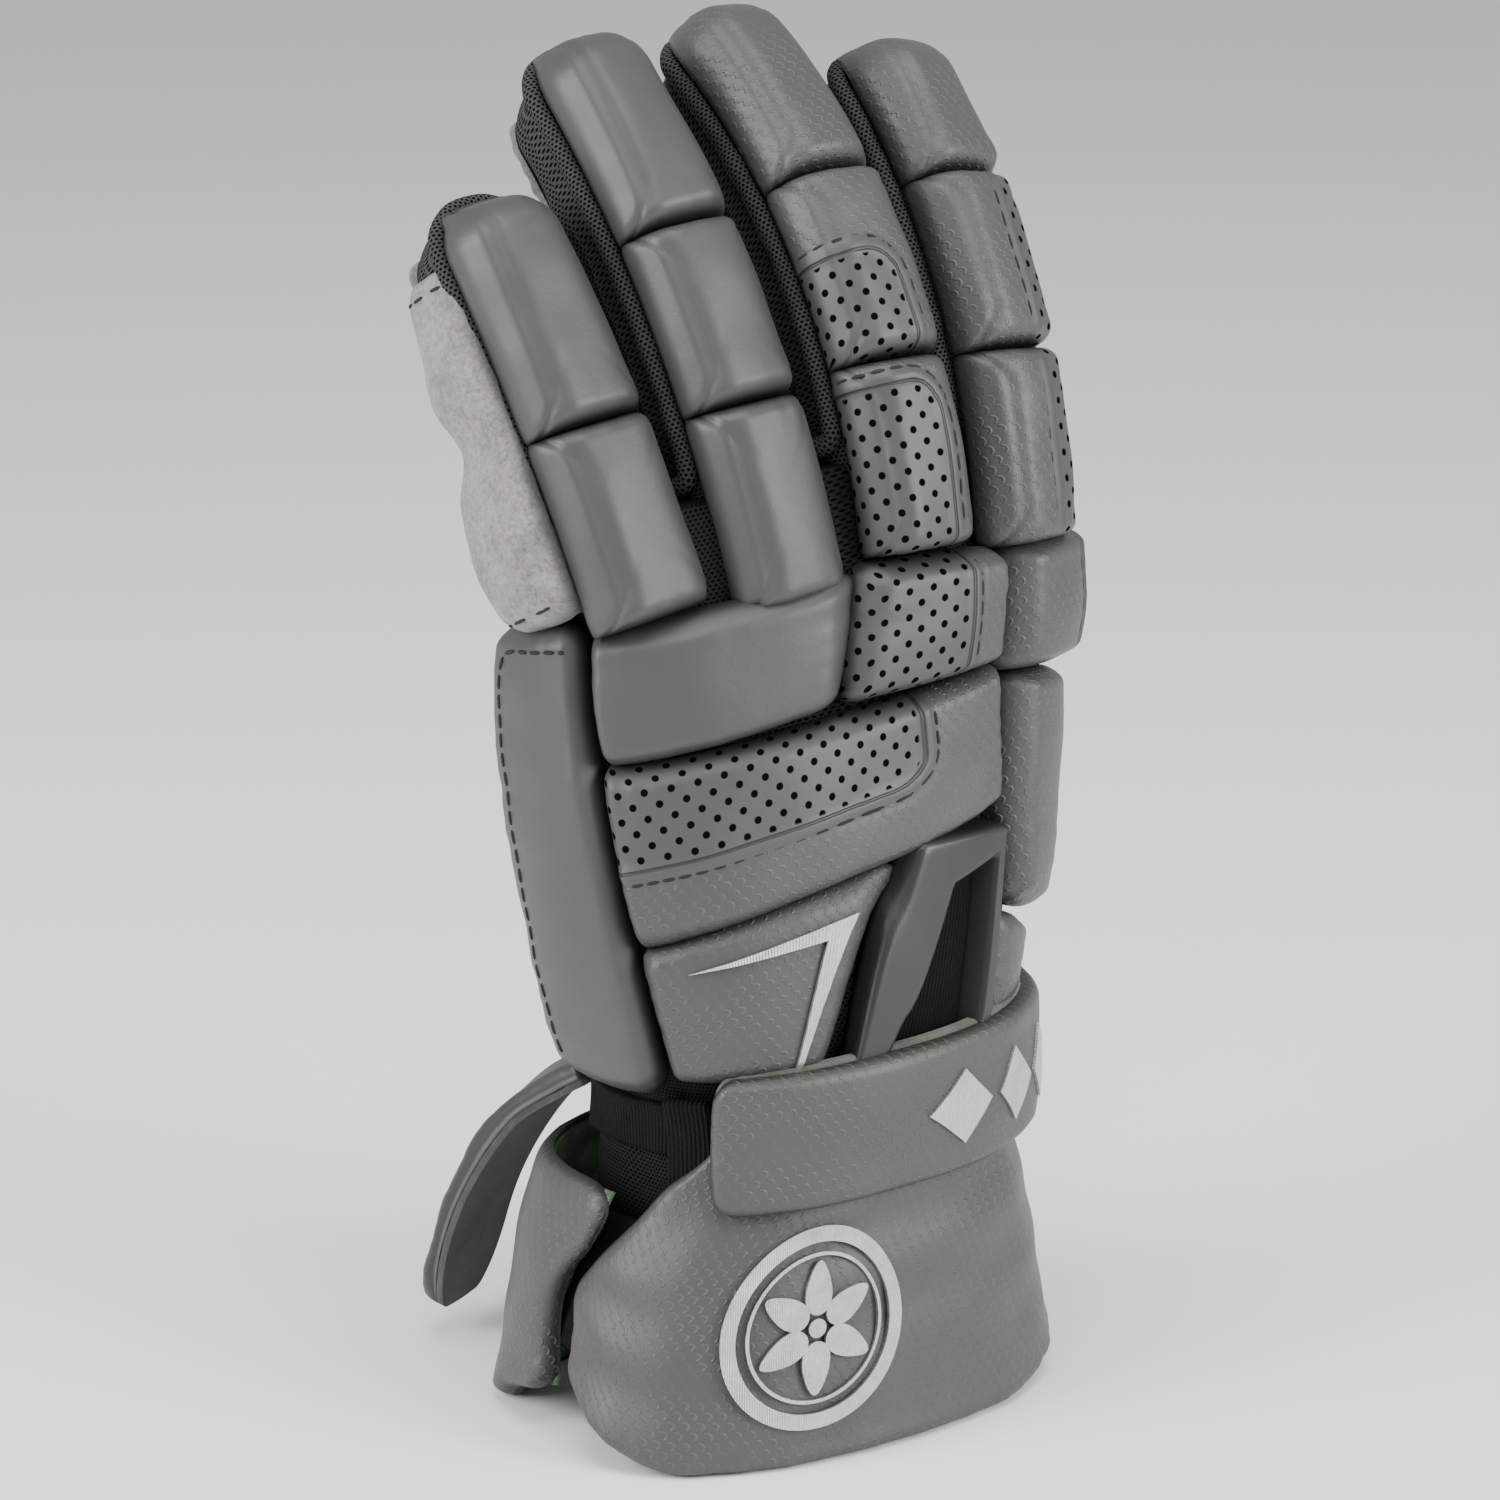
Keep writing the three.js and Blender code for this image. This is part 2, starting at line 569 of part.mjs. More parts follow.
// Angular silver trim on the wrist pad, in places across the pad
const trimArms = [
  [[-0.5, 0.56], [0.82, 0.43], [0.84, 0.66], [-0.5, 0.6]],
  [[0.56, -0.88], [0.68, -0.88], [0.84, 0.6], [0.66, 0.5]],
];
function addTrim() {
  const pad = handPadNamed("wrist_pad");
  const surface = (p, q, out) => {
    const place = patchPlace(pad.corners, p, q, pad.roundness);
    return handPoint(...place, sewnGap + padHeight(pad.thick, p, q) + out);
  };
  const shared = { thick: trimThickness, roundness: 0, sink: bedSink, us: [-1, 0, 1], vs: [-1, 0, 1] };
  const arms = trimArms.map((corners) => patchPad({ corners, surface, ...shared }));
  add("wrist_trim", cut(join(...arms), patchPad(pad, sewnGap), strapRoom), "silver");
}

// Elastic round the wrist, and the keeper that holds the strap's end
const elasticPlaces = spread(12).map((t) => 2 * t - 1);
const elasticBand = {
  sink: 1,
  corners: [[-252, -0.02], [-56, 0.06], [-56, 0.142], [-252, 0.06]],
  thick: bandThickness,
  roundness: 0,
  us: elasticPlaces,
  vs: [-1, 0, 1],
};
const keeper = {
  corners: [[-72, -0.018], [-53.5, -0.018], [-53.5, 0.152], [-72, 0.152]],
  thick: keeperThickness,
  roundness: 0.04,
  lift: bandThickness + 2 * sewnGap,
  us: [-1, -0.5, 0, 0.5, 1],
  vs: [-1, -0.9, 0, 0.9, 1],
};

// Cuff flaps. "low" is the height of the rim over the floor along the flap, and the side edges are angles
// from the flap's foot to its top.
const cuffFlaps = [
  {
    name: "cuff_front",
    top: cuffTop,
    low: [[-90, 21], [-83, 15], [-74, 8], [-60, 2.5], [-46, 0], [24, 0], [44, 3], [70, 9], [78, 16]],
    left: [[0, -87], [0.3, -89.5], [0.7, -71], [0.85, -55], [1, -46]],
    right: [[0, 72], [0.3, 75], [0.7, 70], [1, 62]],
    columns: 10,
  },
  {
    name: "cuff_outer",
    top: sideCuffTop,
    low: [[-176, 6], [-166, 0], [-126, 0], [-112, 6], [-92, 10]],
    left: [[0, -170], [0.5, -174], [1, -168]],
    right: [[0, -92.5], [0.4, -94.5], [0.8, -86], [1, -82]],
    columns: 6,
    inset: 3,
    stand: 5,
  },
  {
    name: "cuff_thumb",
    top: sideCuffTop + 7,
    low: [[80, 12], [96, 4], [110, 0], [160, 0], [172, 6]],
    left: [[0, 82], [0.4, 82], [0.8, 76], [1, 74]],
    right: [[0, 168], [0.5, 172], [1, 166]],
    columns: 6,
  },
];
const valueAt = (pairs, at) => along(pairs.map(([x, value]) => ({ at: x, value })), at, "value");
function cuffFlap({ top, low, left, right, columns, inset = 0, stand = 0 }) {
  const face = (u, v, out) => {
    const share = (v + 1) / 2;
    const angle = lerp(valueAt(left, share), valueAt(right, share), (u + 1) / 2);
    const z = lerp(Math.max(valueAt(low, angle), 0), top, share);
    return cuffPoint(angle, z, out + lerp(-inset, stand, share));
  };
  const thick = (v) => lerp(cuffThickness, cuffThickness / 2, (v + 1) / 2);
  const outer = (u, v) => face(u, v, Math.max(2.5, thick(v) * Math.sqrt(crown(u) * crown(v))) - thick(v));
  const inner = (u, v) => face(u, v, -thick(v));
  const inside = spread(columns).map((t) => lerp(-0.94, 0.94, t));
  return padGeometry(outer, inner, [-1, ...inside, 1], [-1, -0.95, -0.75, -0.3, 0.2, 0.6, 1]);
}
const cuffWedges = [
  { name: "cuff_wedge_outer", corners: [[-102, 22], [-76, 18], [-70, 52], [-92, 52]] },
  { name: "cuff_wedge_thumb", corners: [[64, 18], [81, 18], [77, 52], [62, 52]] },
];
function addCuff() {
  const keeperRoom = room(keeper);
  for (const flap of cuffFlaps) add(flap.name, cut(cuffFlap(flap), keeperRoom, strapRoom), "embossed");
  for (const { name, corners } of cuffWedges) {
    const lift = -(cuffThickness + sewnGap + bandThickness);
    const shared = { surface: cuffPoint, thick: bandThickness, roundness: 0, us: [-1, 0, 1], vs: [-1, 0, 1] };
    add(name, patchPad({ corners, lift, ...shared }), "elastic");
  }
}

// Round badge on the front cuff flap
const badgeAngle = -18;
const badgeHeight = 32;
const badgeTurns = 22;
const badgeSteps = 32;

// The angle round the cuff that lies a distance along its surface from the badge's middle
function badgeAngleAt(distance) {
  let angle = badgeAngle;
  const half = 0.25;
  for (let i = 0; i < badgeSteps; i += 1) {
    const rate = cuffPoint(angle + half, badgeHeight, 0).distanceTo(cuffPoint(angle - half, badgeHeight, 0));
    angle += ((distance / badgeSteps) * 2 * half) / rate;
  }
  return angle;
}
function addBadge() {
  const centre = cuffPoint(badgeAngle, badgeHeight, 0);
  const heightPerMm = 1 / cuffPoint(badgeAngle, badgeHeight + 1, 0).distanceTo(centre);
  const face = (out) => (turn, share) => {
    const x = badgeRadius * share * Math.cos(turn * degrees);
    const z = badgeRadius * share * Math.sin(turn * degrees);
    return cuffPoint(badgeAngleAt(x), badgeHeight + z * heightPerMm, out);
  };
  const rings = [[0.02, 0], [0.5, 0], [1, 0], [1, 1], [0.5, 1], [0.02, 1]];
  const points = rings.map(([share, level]) => [share, sewnGap + level * trimThickness]);
  const body = ringGeometry((turn, [share, out]) => face(out)(turn, share), badgeTurns, points);
  add("cuff_badge", body, "silver");
}

// Loose end of the strap on the palm side. Rows follow it down from the wrist.
const tabAngle = -154;
const tabPath = [
  { at: 0, out: 0, down: 0 },
  { at: 0.12, out: 7, down: 0.06 },
  { at: 0.3, out: 20, down: 0.2 },
  { at: 0.6, out: 34, down: 0.52 },
  { at: 1, out: 43, down: 0.94 },
];
function tabPoint(across, share, out) {
  const angle = tabAngle * degrees;
  const away = new THREE.Vector3(Math.sin(angle), -Math.cos(angle), 0);
  const side = new THREE.Vector3(Math.cos(angle), Math.sin(angle), 0);
  const step = 0.01;
  const at = (t) => new THREE.Vector3(along(tabPath, t, "out"), 0, -tabLength * along(tabPath, t, "down"));
  const run = at(Math.min(share + step, 1)).sub(at(Math.max(share - step, 0))).normalize();
  const place = at(share);
  const end = clamp((share - 0.75) / 0.25, 0, 1);
  const wide = (tabWidth / 2) * across * Math.sqrt(1 - 0.7 * end * end);
  const start = strapPoint(tabAngle, wristHeight + tabStart, -strapThickness / 2);
  return start
    .addScaledVector(away, place.x - run.z * out)
    .addScaledVector(side, wide)
    .add(new THREE.Vector3(0, 0, place.z + run.x * out));
}
function addTab() {
  const outer = (u, v) => tabPoint(u, v, padHeight(tabThickness, u, 2 * v - 1));
  const inner = (u, v) => tabPoint(u, v, 0);
  const rows = [0, 0.06, 0.14, 0.25, 0.4, 0.65, 0.85, 0.95, 1];
  add("strap_tab", padGeometry(outer, inner, padPlaces, rows), "leather");
}

// Thin suede on the palm and the fingers' palm side
const fingerSuedeGap = 1.4 * sewnGap;
function addSuede() {
  const thumbRoom = fingerForm("thumb", sewnGap, 0);
  add("palm_suede", fitted(palmSuede, thumbRoom), "suede");
  for (const finger of Object.keys(fingers)) {
    const dome = lengthOf(finger) - tipDome;
    const rows = [4, dome / 4, dome / 2, dome * 0.75, dome, dome + tipDome * 0.6];
    const neighbours = { little: [roomOf("outer_flap")], thumb: [palmRoom()] }[finger] ?? [];
    const bed = (angle, s) => fingerPoint(finger, angle, s, fingerSuedeGap);
    const top = (angle, s) => fingerPoint(finger, angle, s, fingerSuedeGap + suedeThickness);
    const patch = padGeometry(top, bed, [135, 150, 180, 210, 225], rows);
    add(`${finger}_suede`, cut(patch, shellRoom, ...neighbours), "suede");
  }
}

// Padding on the little finger's outer side, with a dent across it. Corners are [angle, mm along the finger].
const sideCorners = [[-128, 0], [-64, 2], [-64, 84], [-128, 87]];
const sideHeights = [
  { at: 0, share: 0.8 },
  { at: 18, share: 1 },
  { at: 34, share: 0.85 },
  { at: 45, share: 0.5 },
  { at: 57, share: 0.68 },
  { at: 70, share: 0.52 },
  { at: 87, share: 0.3 },
];
function addSidePatch() {
  const raised = (s, out) => (out > 0 ? out * along(sideHeights, s, "share") : out);
  const surface = (angle, s, out) => fingerPoint("little", angle, s, raised(s, out));
  const us = [-1, -0.9, 0, 0.9, 1];
  const vs = [-1, -0.93, -0.5, -0.15, 0.05, 0.3, 0.93, 1];
  const shared = { thick: sideThickness, roundness: 0.1, sink: bedSink };
  const side = patchPad({ corners: sideCorners, surface, us, vs, ...shared });
  const stall = fingerForm("little", sewnGap, 0);
  const beside = [roomOf("knuckle_pad_outer"), roomOf("outer_flap")];
  add("little_side_patch", cut(side, shellRoom, stall, ...beside), "suede");
}

addShell();
addPads();
add("wrist_strap", patchPad(strapPiece), "embossed");
add("strap_keeper", patchPad(keeper), "elastic");
add("wrist_elastic", fitted(elasticBand), "elastic");
addGuard();
addTrim();
addCuff();
addBadge();
addTab();
addSuede();
addSidePatch();

// Place the origin on the floor under the middle of the bounding box
glove.updateMatrixWorld(true);
const box = new THREE.Box3().setFromObject(glove, true);
const middle = box.getCenter(new THREE.Vector3());
for (const mesh of glove.children) mesh.geometry.translate(-middle.x, -middle.y, -box.min.z);

export default glove;
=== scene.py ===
# %% [markdown]
# # A padded lacrosse glove
# The real glove is a soft mesh shell for the hand, with foam pads wrapped in leather sewn on its back, a
# wide strap round the wrist and a bell-shaped cuff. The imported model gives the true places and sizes, so
# this file first loads it and keeps its box, and then dresses it piece by piece.

# %% Load the frame
import math
import bmesh
import bpy
import numpy as np
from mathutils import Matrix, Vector


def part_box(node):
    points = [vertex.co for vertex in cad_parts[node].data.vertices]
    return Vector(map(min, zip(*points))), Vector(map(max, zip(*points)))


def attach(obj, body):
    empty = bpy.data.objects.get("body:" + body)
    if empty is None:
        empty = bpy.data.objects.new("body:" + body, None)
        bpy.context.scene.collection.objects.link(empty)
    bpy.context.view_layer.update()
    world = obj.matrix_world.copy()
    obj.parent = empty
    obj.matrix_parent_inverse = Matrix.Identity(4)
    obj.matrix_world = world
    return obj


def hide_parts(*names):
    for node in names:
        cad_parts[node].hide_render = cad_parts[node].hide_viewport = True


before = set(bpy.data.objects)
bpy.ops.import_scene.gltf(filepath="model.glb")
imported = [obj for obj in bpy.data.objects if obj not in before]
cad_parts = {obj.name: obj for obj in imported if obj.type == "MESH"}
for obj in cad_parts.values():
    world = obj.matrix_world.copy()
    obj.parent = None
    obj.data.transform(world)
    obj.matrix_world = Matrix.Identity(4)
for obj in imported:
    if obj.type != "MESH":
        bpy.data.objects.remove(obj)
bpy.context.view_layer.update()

# %% [markdown]
# The camera comes first, at the photograph's angle: low, to the left of the back of the hand, with a long
# lens so that the fingers keep their proportions.

# %% Camera
camera_turn, camera_rise, camera_away = math.radians(-38), math.radians(15), 1.25
sensor_width, seen_width = 36, 0.348
looked_at = Vector((-0.01277, -0.02275, 0.1543))
level = math.cos(camera_rise)
away = Vector((math.sin(camera_turn) * level, -math.cos(camera_turn) * level, math.sin(camera_rise)))
bpy.ops.object.select_all(action="DESELECT")
bpy.ops.object.camera_add(location=looked_at + away * camera_away)
camera = bpy.context.object
camera.rotation_euler = (-away).to_track_quat("-Z", "Y").to_euler()
camera.data.sensor_width = sensor_width
camera.data.lens = sensor_width * camera_away / seen_width
bpy.context.scene.camera = camera
print("camera lens", round(camera.data.lens, 1), "mm")

# %% [markdown]
# Each piece lies on the hand, on a finger, on the cuff or on the strap. These surfaces repeat the part's own
# formulas and named sizes in millimetres, so that a pad made here sits exactly where its solid does. They
# take arrays, because a pad has thousands of points.

# %% Named sizes of the glove, in millimetres
wrist_height, hand_length, palm_width, palm_depth, knuckle_rise = 60, 164, 120, 74, 21
longest_finger, finger_width, finger_depth, tip_dome = 126.5, 26, 28, 14
finger_pad_width, finger_pad_thickness, tip_taper = 27.5, 10.5, 0.2
strap_width, strap_depth, strap_height, strap_thickness, strap_climb = 120, 96, 33, 7, 5
cuff_top, side_cuff_top, cuff_thickness = 84, 61, 7
cuff_flare_wide, cuff_flare_deep, cuff_shift = 20.5, 12.5, 6
sewn_gap, shell_wall = 0.35, 2
hand_roundness, finger_roundness = 2.5, 3

# up, side, back, width, depth, turn
hand_sections = np.array([
    (-0.12, 0, 0, 0.79, 0.96, 0), (0.1, 0, 0, 0.77, 0.94, 0), (0.22, 0, 0.02, 0.86, 1.0, 0),
    (0.45, 0.01, 0.12, 0.96, 1.0, -3), (0.7, 0.04, 0.21, 1.03, 0.93, -6), (0.9, 0.05, 0.2, 1.03, 0.8, -8),
    (1, 0.03, 0.13, 0.97, 0.61, -8)])
cuff_flares = np.array([(0, 1), (0.12, 0.86), (0.3, 0.66), (0.5, 0.45), (0.66, 0.22), (0.8, 0.03), (1, 0)])
fingers = {
    "little": dict(side=-0.792, back=0.12, up=0.863, length=0.772, lean=21, bend=13, splay=-6.8),
    "ring": dict(side=-0.274, back=-0.1, up=0.879, length=0.99, lean=14.6, bend=31.5, splay=-4.4),
    "middle": dict(side=0.243, back=-0.35, up=0.88, length=1, lean=8.2, bend=53, splay=-0.8),
    "index": dict(side=0.741, back=-0.338, up=0.838, length=0.889, lean=7.3, bend=43, splay=1.6, roll=-12),
    "thumb": dict(side=0.55, back=0.9, up=0.3, length=0.9, lean=28, bend=16, splay=20, roll=-62, thick=1.12),
}


# %% Smooth values between the rows of a table
def along(rows, at, column=1):
    x, y = rows[:, 0], rows[:, column]
    at = np.clip(at, x[0], x[-1])
    i = np.clip(np.searchsorted(x, at, side="right") - 1, 0, len(x) - 2)
    slope = np.gradient(y, x)
    slope[1:-1] = (y[2:] - y[:-2]) / (x[2:] - x[:-2])
    step, chord = x[i + 1] - x[i], y[i + 1] - y[i]
    t = (at - x[i]) / step
    bend = (1 - t) * (slope[i] * step - chord) - t * (slope[i + 1] * step - chord)
    return y[i] + chord * t + t * (1 - t) * bend


# %% The hand's surface
def section_point(angle, wide, deep, roundness):
    sine, cosine = np.sin(np.radians(angle)), np.cos(np.radians(angle))
    power = 2 / roundness
    return wide * np.sign(sine) * abs(sine) ** power, -deep * np.sign(cosine) * abs(cosine) ** power


def hand_point(angle, up, out):
    half, deep = palm_width / 2, palm_depth / 2
    side, back, width, depth, turn = (along(hand_sections, up, c) for c in range(1, 6))
    x, y = section_point(angle, half * width + out, deep * depth + out, hand_roundness)
    turn = np.radians(turn)
    px = x * np.cos(turn) - y * np.sin(turn) + half * side
    py = x * np.sin(turn) + y * np.cos(turn) + deep * back
    z = wrist_height + up * hand_length + knuckle_rise * (px / palm_width) * np.clip(up, 0, 1)
    return np.stack(np.broadcast_arrays(px, py, z), -1)


# %% The fingers' surface
def finger_frame(finger, s):
    f = fingers[finger]
    start = math.radians(f["lean"])
    turn = math.radians(f["bend"]) / (longest_finger * f["length"])
    lean = start + turn * s
    splay, roll = math.radians(f["splay"]), -math.radians(f.get("roll", 0))
    sine, cosine = math.sin(splay), math.cos(splay)
    swing = np.array([[cosine, 0, sine], [0, 1, 0], [-sine, 0, cosine]])
    nothing = np.zeros_like(lean)
    y, z = (math.cos(start) - np.cos(lean)) / turn, (np.sin(lean) - math.sin(start)) / turn
    base = np.array([palm_width / 2 * f["side"], palm_depth / 2 * f["back"],
                     wrist_height + hand_length * f["up"] + knuckle_rise * f["side"] / 2])
    centre = np.stack([nothing, y, z], -1) @ swing.T + base
    tangent = np.stack([nothing, np.sin(lean), np.cos(lean)], -1) @ swing.T
    across = np.broadcast_to(swing[:, 0], tangent.shape)
    outward = np.cross(across, tangent)
    side = across * math.cos(roll) + np.cross(tangent, across) * math.sin(roll)
    return centre, side, outward * math.cos(roll) + np.cross(tangent, outward) * math.sin(roll)


def finger_spot(finger, s, wide, high):
    s, wide, high = np.broadcast_arrays(np.asarray(s, float), wide, high)
    centre, side, outward = finger_frame(finger, s)
    return centre + side * wide[..., None] + outward * high[..., None]


def length_of(finger):
    return longest_finger * fingers[finger]["length"]


def thick_of(finger):
    return fingers[finger].get("thick", 1)


def finger_point(finger, angle, s, out):
    t = np.clip((s - (length_of(finger) + out - tip_dome)) / tip_dome, 0, 1)
    share = np.sqrt(np.maximum(1 - t * t, 0))
    wide = (finger_width / 2 * thick_of(finger) + out) * share
    deep = (finger_depth / 2 * thick_of(finger) + out) * share
    x, y = section_point(angle, wide, deep, finger_roundness)
    return finger_spot(finger, s, x, -y)


# %% The cuff's and the strap's surfaces
def cuff_point(angle, z, out):
    flare = along(cuff_flares, np.asarray(z, float) / cuff_top)
    wide = strap_width / 2 - strap_thickness - 2 * sewn_gap + cuff_flare_wide * flare + out
    deep = strap_depth / 2 - strap_thickness - 2 * sewn_gap + cuff_flare_deep * flare + out
    x, y = section_point(angle, wide, deep, hand_roundness)
    return np.stack(np.broadcast_arrays(x - cuff_shift * flare, y, z), -1)


def strap_point(angle, z, out):
    wide, deep = strap_width / 2 - strap_thickness + out, strap_depth / 2 - strap_thickness + out
    x, y = section_point(angle, wide, deep, hand_roundness)
    return np.stack(np.broadcast_arrays(x, y, z), -1)


# %% [markdown]
# A pad covers a patch with four corners on its surface, each given as an angle round the hand and a
# height. Places on it run from -1 to 1 both ways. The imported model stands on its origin, under the middle
# of its bounding box, so every point drawn here is moved by the same shift.

# %% Places on a patch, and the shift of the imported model
def patch_place(corners, p, q, roundness):
    a, b, c, d = np.array(corners, float)
    x = ((p * np.sqrt(1 - roundness * q * q / 2) + 1) / 2)[..., None]
    y = ((q * np.sqrt(1 - roundness * p * p / 2) + 1) / 2)[..., None]
    place = (a * (1 - x) + b * x) * (1 - y) + (d * (1 - x) + c * x) * y
    return place[..., 0], place[..., 1]


strap_corners = [(-52, wrist_height - 2), (118, wrist_height + strap_climb),
                 (118, wrist_height + strap_climb + strap_height), (-52, wrist_height + strap_height - 2)]
# middle of the part's bounding box, in the frame that its shapes are drawn in
part_middle = np.array([5.0312, 28.0827])
shift = np.array([-part_middle[0], -part_middle[1], 0])
strap_box = np.array(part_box("wrist_strap")) * 1000
print("the packed model is shifted by", shift.round(2), "mm")
print("its strap is", (strap_box[1] - strap_box[0]).round(1), "mm")

# %% [markdown]
# Every padded or sewn piece here is one closed skin: a grid of points for its face, a grid for its bed
# and a wall between them. Its UV map is in millimetres along the leather, so that grain, holes and weave
# keep their size, and two more values ride on its points: "edge", how far it is to the nearest seam, and
# "zone", how far inside the punched part of the leather a point lies.

# %% From grids of points to a piece
made = {}


def finish_mesh(name, points, faces, uvs, values):
    """A smooth mesh from points in mm; each extra value is broadcast over the points."""
    mesh = bpy.data.meshes.new(name)
    mesh.from_pydata(((points.reshape(-1, 3) + shift) / 1000).tolist(), [], faces)
    mesh.uv_layers.new(name="skin").data.foreach_set("uv", uvs.reshape(-1).astype(np.float32))
    for key, value in values.items():
        attribute = mesh.attributes.new(key, "FLOAT", "POINT")
        spread = np.broadcast_to(value, points.shape[:-1]).reshape(-1)
        attribute.data.foreach_set("value", spread.astype(np.float32))
    mesh.shade_smooth()
    piece = bpy.data.objects.new(name, mesh)
    bpy.context.collection.objects.link(piece)
    made[name] = piece
    print(name, len(faces), "faces")
    return piece


def faces_out(points, faces):
    a, b, c = (points.reshape(-1, 3)[faces[:, i]] for i in range(3))
    d = points.reshape(-1, 3)[faces[:, -1]]
    volume = np.einsum("ij,ij->", a, np.cross(b, c)) + np.einsum("ij,ij->", a, np.cross(c, d))
    return faces if volume > 0 else faces[:, ::-1]


def grid_piece(name, face, bed, across, up, **values):
    rows, columns = face.shape[:2]
    at = np.arange(rows * columns).reshape(rows, columns)
    under = at + rows * columns
    quads = [np.stack([at[:-1, :-1], at[:-1, 1:], at[1:, 1:], at[1:, :-1]], -1).reshape(-1, 4),
             np.stack([under[:-1, :-1], under[1:, :-1], under[1:, 1:], under[:-1, 1:]], -1).reshape(-1, 4)]
    border = np.concatenate([at[0, :-1], at[:-1, -1], at[-1, :0:-1], at[:0:-1, 0]])
    after = np.roll(border, -1)
    quads.append(np.stack([border, border + rows * columns, after + rows * columns, after], -1))
    points = np.stack([face, bed])
    faces = faces_out(points, np.concatenate(quads))
    spots = np.stack(np.broadcast_arrays(across, up), -1).reshape(-1, 2)
    return finish_mesh(name, points, faces.tolist(), np.concatenate([spots, spots])[faces], values)


def ring_piece(name, rings, across, up):
    """A closed piece from rings of points, with a fan of triangles over its first and its last ring."""
    rings = np.asarray(rings)
    count, turns = rings.shape[:2]
    at = np.arange(count * turns).reshape(count, turns)
    after = np.roll(at, -1, 1)
    quads = np.stack([at[:-1], after[:-1], after[1:], at[1:]], -1).reshape(-1, 4)
    points = np.concatenate([rings.reshape(-1, 3), rings[[0, -1]].mean(1)])
    faces = faces_out(points, quads)
    first, last = count * turns, count * turns + 1
    fans = np.concatenate([np.stack([after[0], at[0], at[0] * 0 + first], -1),
                           np.stack([at[-1], after[-1], at[-1] * 0 + last], -1)])
    if faces is not quads:
        fans = fans[:, ::-1]
    corner = np.stack(np.broadcast_arrays(across, up), -1)
    corner = np.concatenate([corner.reshape(-1, 2), corner[[0, -1]].mean(1)])
    seam = np.ptp(across) * turns / (turns - 1)
    uvs = corner[faces]
    wraps = (np.ptp(uvs[..., 0], 1) > seam / 2)[:, None] & (uvs[..., 0] < across.min() + seam / 2)
    uvs[..., 0] += wraps * seam
    mesh_uvs = np.concatenate([uvs.reshape(-1, 2), corner[fans].reshape(-1, 2)])
    return finish_mesh(name, points, faces.tolist() + fans.tolist(), mesh_uvs, {})


# %% [markdown]
# Leather over foam isn't a smooth hill. It rises steeply from its seam, bulges a little over it, is
# nearly flat on top, and is gathered by the stitches into small puckers that fade away from the seam.
# Sums of a few waves give the puckers and the slow dents of used foam, the same on every run because
# their seeds are fixed.

# %% Shape of leather over foam
def waves(seed, longest, count=5):
    chance = np.random.default_rng(seed)
    turns = chance.uniform(0, 2 * math.pi, (count, 2))
    lengths = longest * chance.uniform(0.45, 1, count)

    def value(x, y=0):
        total = 0
        for (heading, phase), length in zip(turns, lengths):
            run = x * math.cos(heading) + y * math.sin(heading)
            total = total + np.sin(run * 2 * math.pi / length + phase)
        return total / count ** 0.5

    return value


def rounded(distance, radius, fullness=2.3):
    t = np.clip(distance / radius, 0, 1)
    return (1 - (1 - t) ** fullness) ** (1 / fullness)


def packed(count, power=1.7):
    t = np.linspace(-1, 1, count)
    return np.sign(t) * (1 - (1 - abs(t)) ** power)


def run_along(points, axis):
    """Distance over a grid along one axis, from its middle line, so that patterns aren't stretched."""
    steps = np.linalg.norm(np.diff(points, axis=axis), axis=-1)
    run = np.cumsum(np.concatenate([np.zeros_like(np.take(steps, [0], axis)), steps], axis), axis)
    return run - np.take(run, [points.shape[axis] // 2], axis)


# millimetres added to places on a UV map, which only shifts the patterns
map_start = 200
# the zone value of a pad without punched leather
far_outside = -99.0


class Pad:
    """A padded piece: face(p, q) and bed(p, q) give points in mm for places from -1 to 1."""

    def __init__(self, name, face, bed, zone=None):
        self.name, self.face, self.bed, self.zone = name, face, bed, zone
        line = np.linspace(-1, 1, 41)
        self.width = np.linalg.norm(np.diff(bed(line, line * 0), axis=0), axis=1).sum()
        self.height = np.linalg.norm(np.diff(bed(line * 0, line), axis=0), axis=1).sum()

    def spot(self, x, y, out=0.0):
        """A point over the face, from its middle x mm across and y mm up, and the way out there."""
        p, q = np.asarray(x) * 2 / self.width, np.asarray(y) * 2 / self.height
        across = self.face(p + 0.01, q) - self.face(p - 0.01, q)
        up = self.face(p, q + 0.01) - self.face(p, q - 0.01)
        way = np.cross(across, up)
        way /= np.linalg.norm(way, axis=-1, keepdims=True)
        if (way * (self.face(p, q) - self.bed(p, q))).sum() < 0:
            way = -way
        return self.face(p, q) + way * out, way

    def build(self, cell=0.8):
        columns, rows = (int(np.clip(size / cell, 16, 130)) for size in (self.width, self.height))
        p, q = np.meshgrid(packed(columns), packed(rows))
        x, y = p * self.width / 2, q * self.height / 2
        edge = np.minimum(self.width / 2 - abs(x), self.height / 2 - abs(y))
        zone = self.zone(x, y) if self.zone else np.full(x.shape, far_outside)
        face = self.face(p, q)
        across, up = run_along(face, 1) + map_start, run_along(face, 0) + map_start
        return grid_piece(self.name, face, self.bed(p, q), across, up, edge=edge, zone=zone)


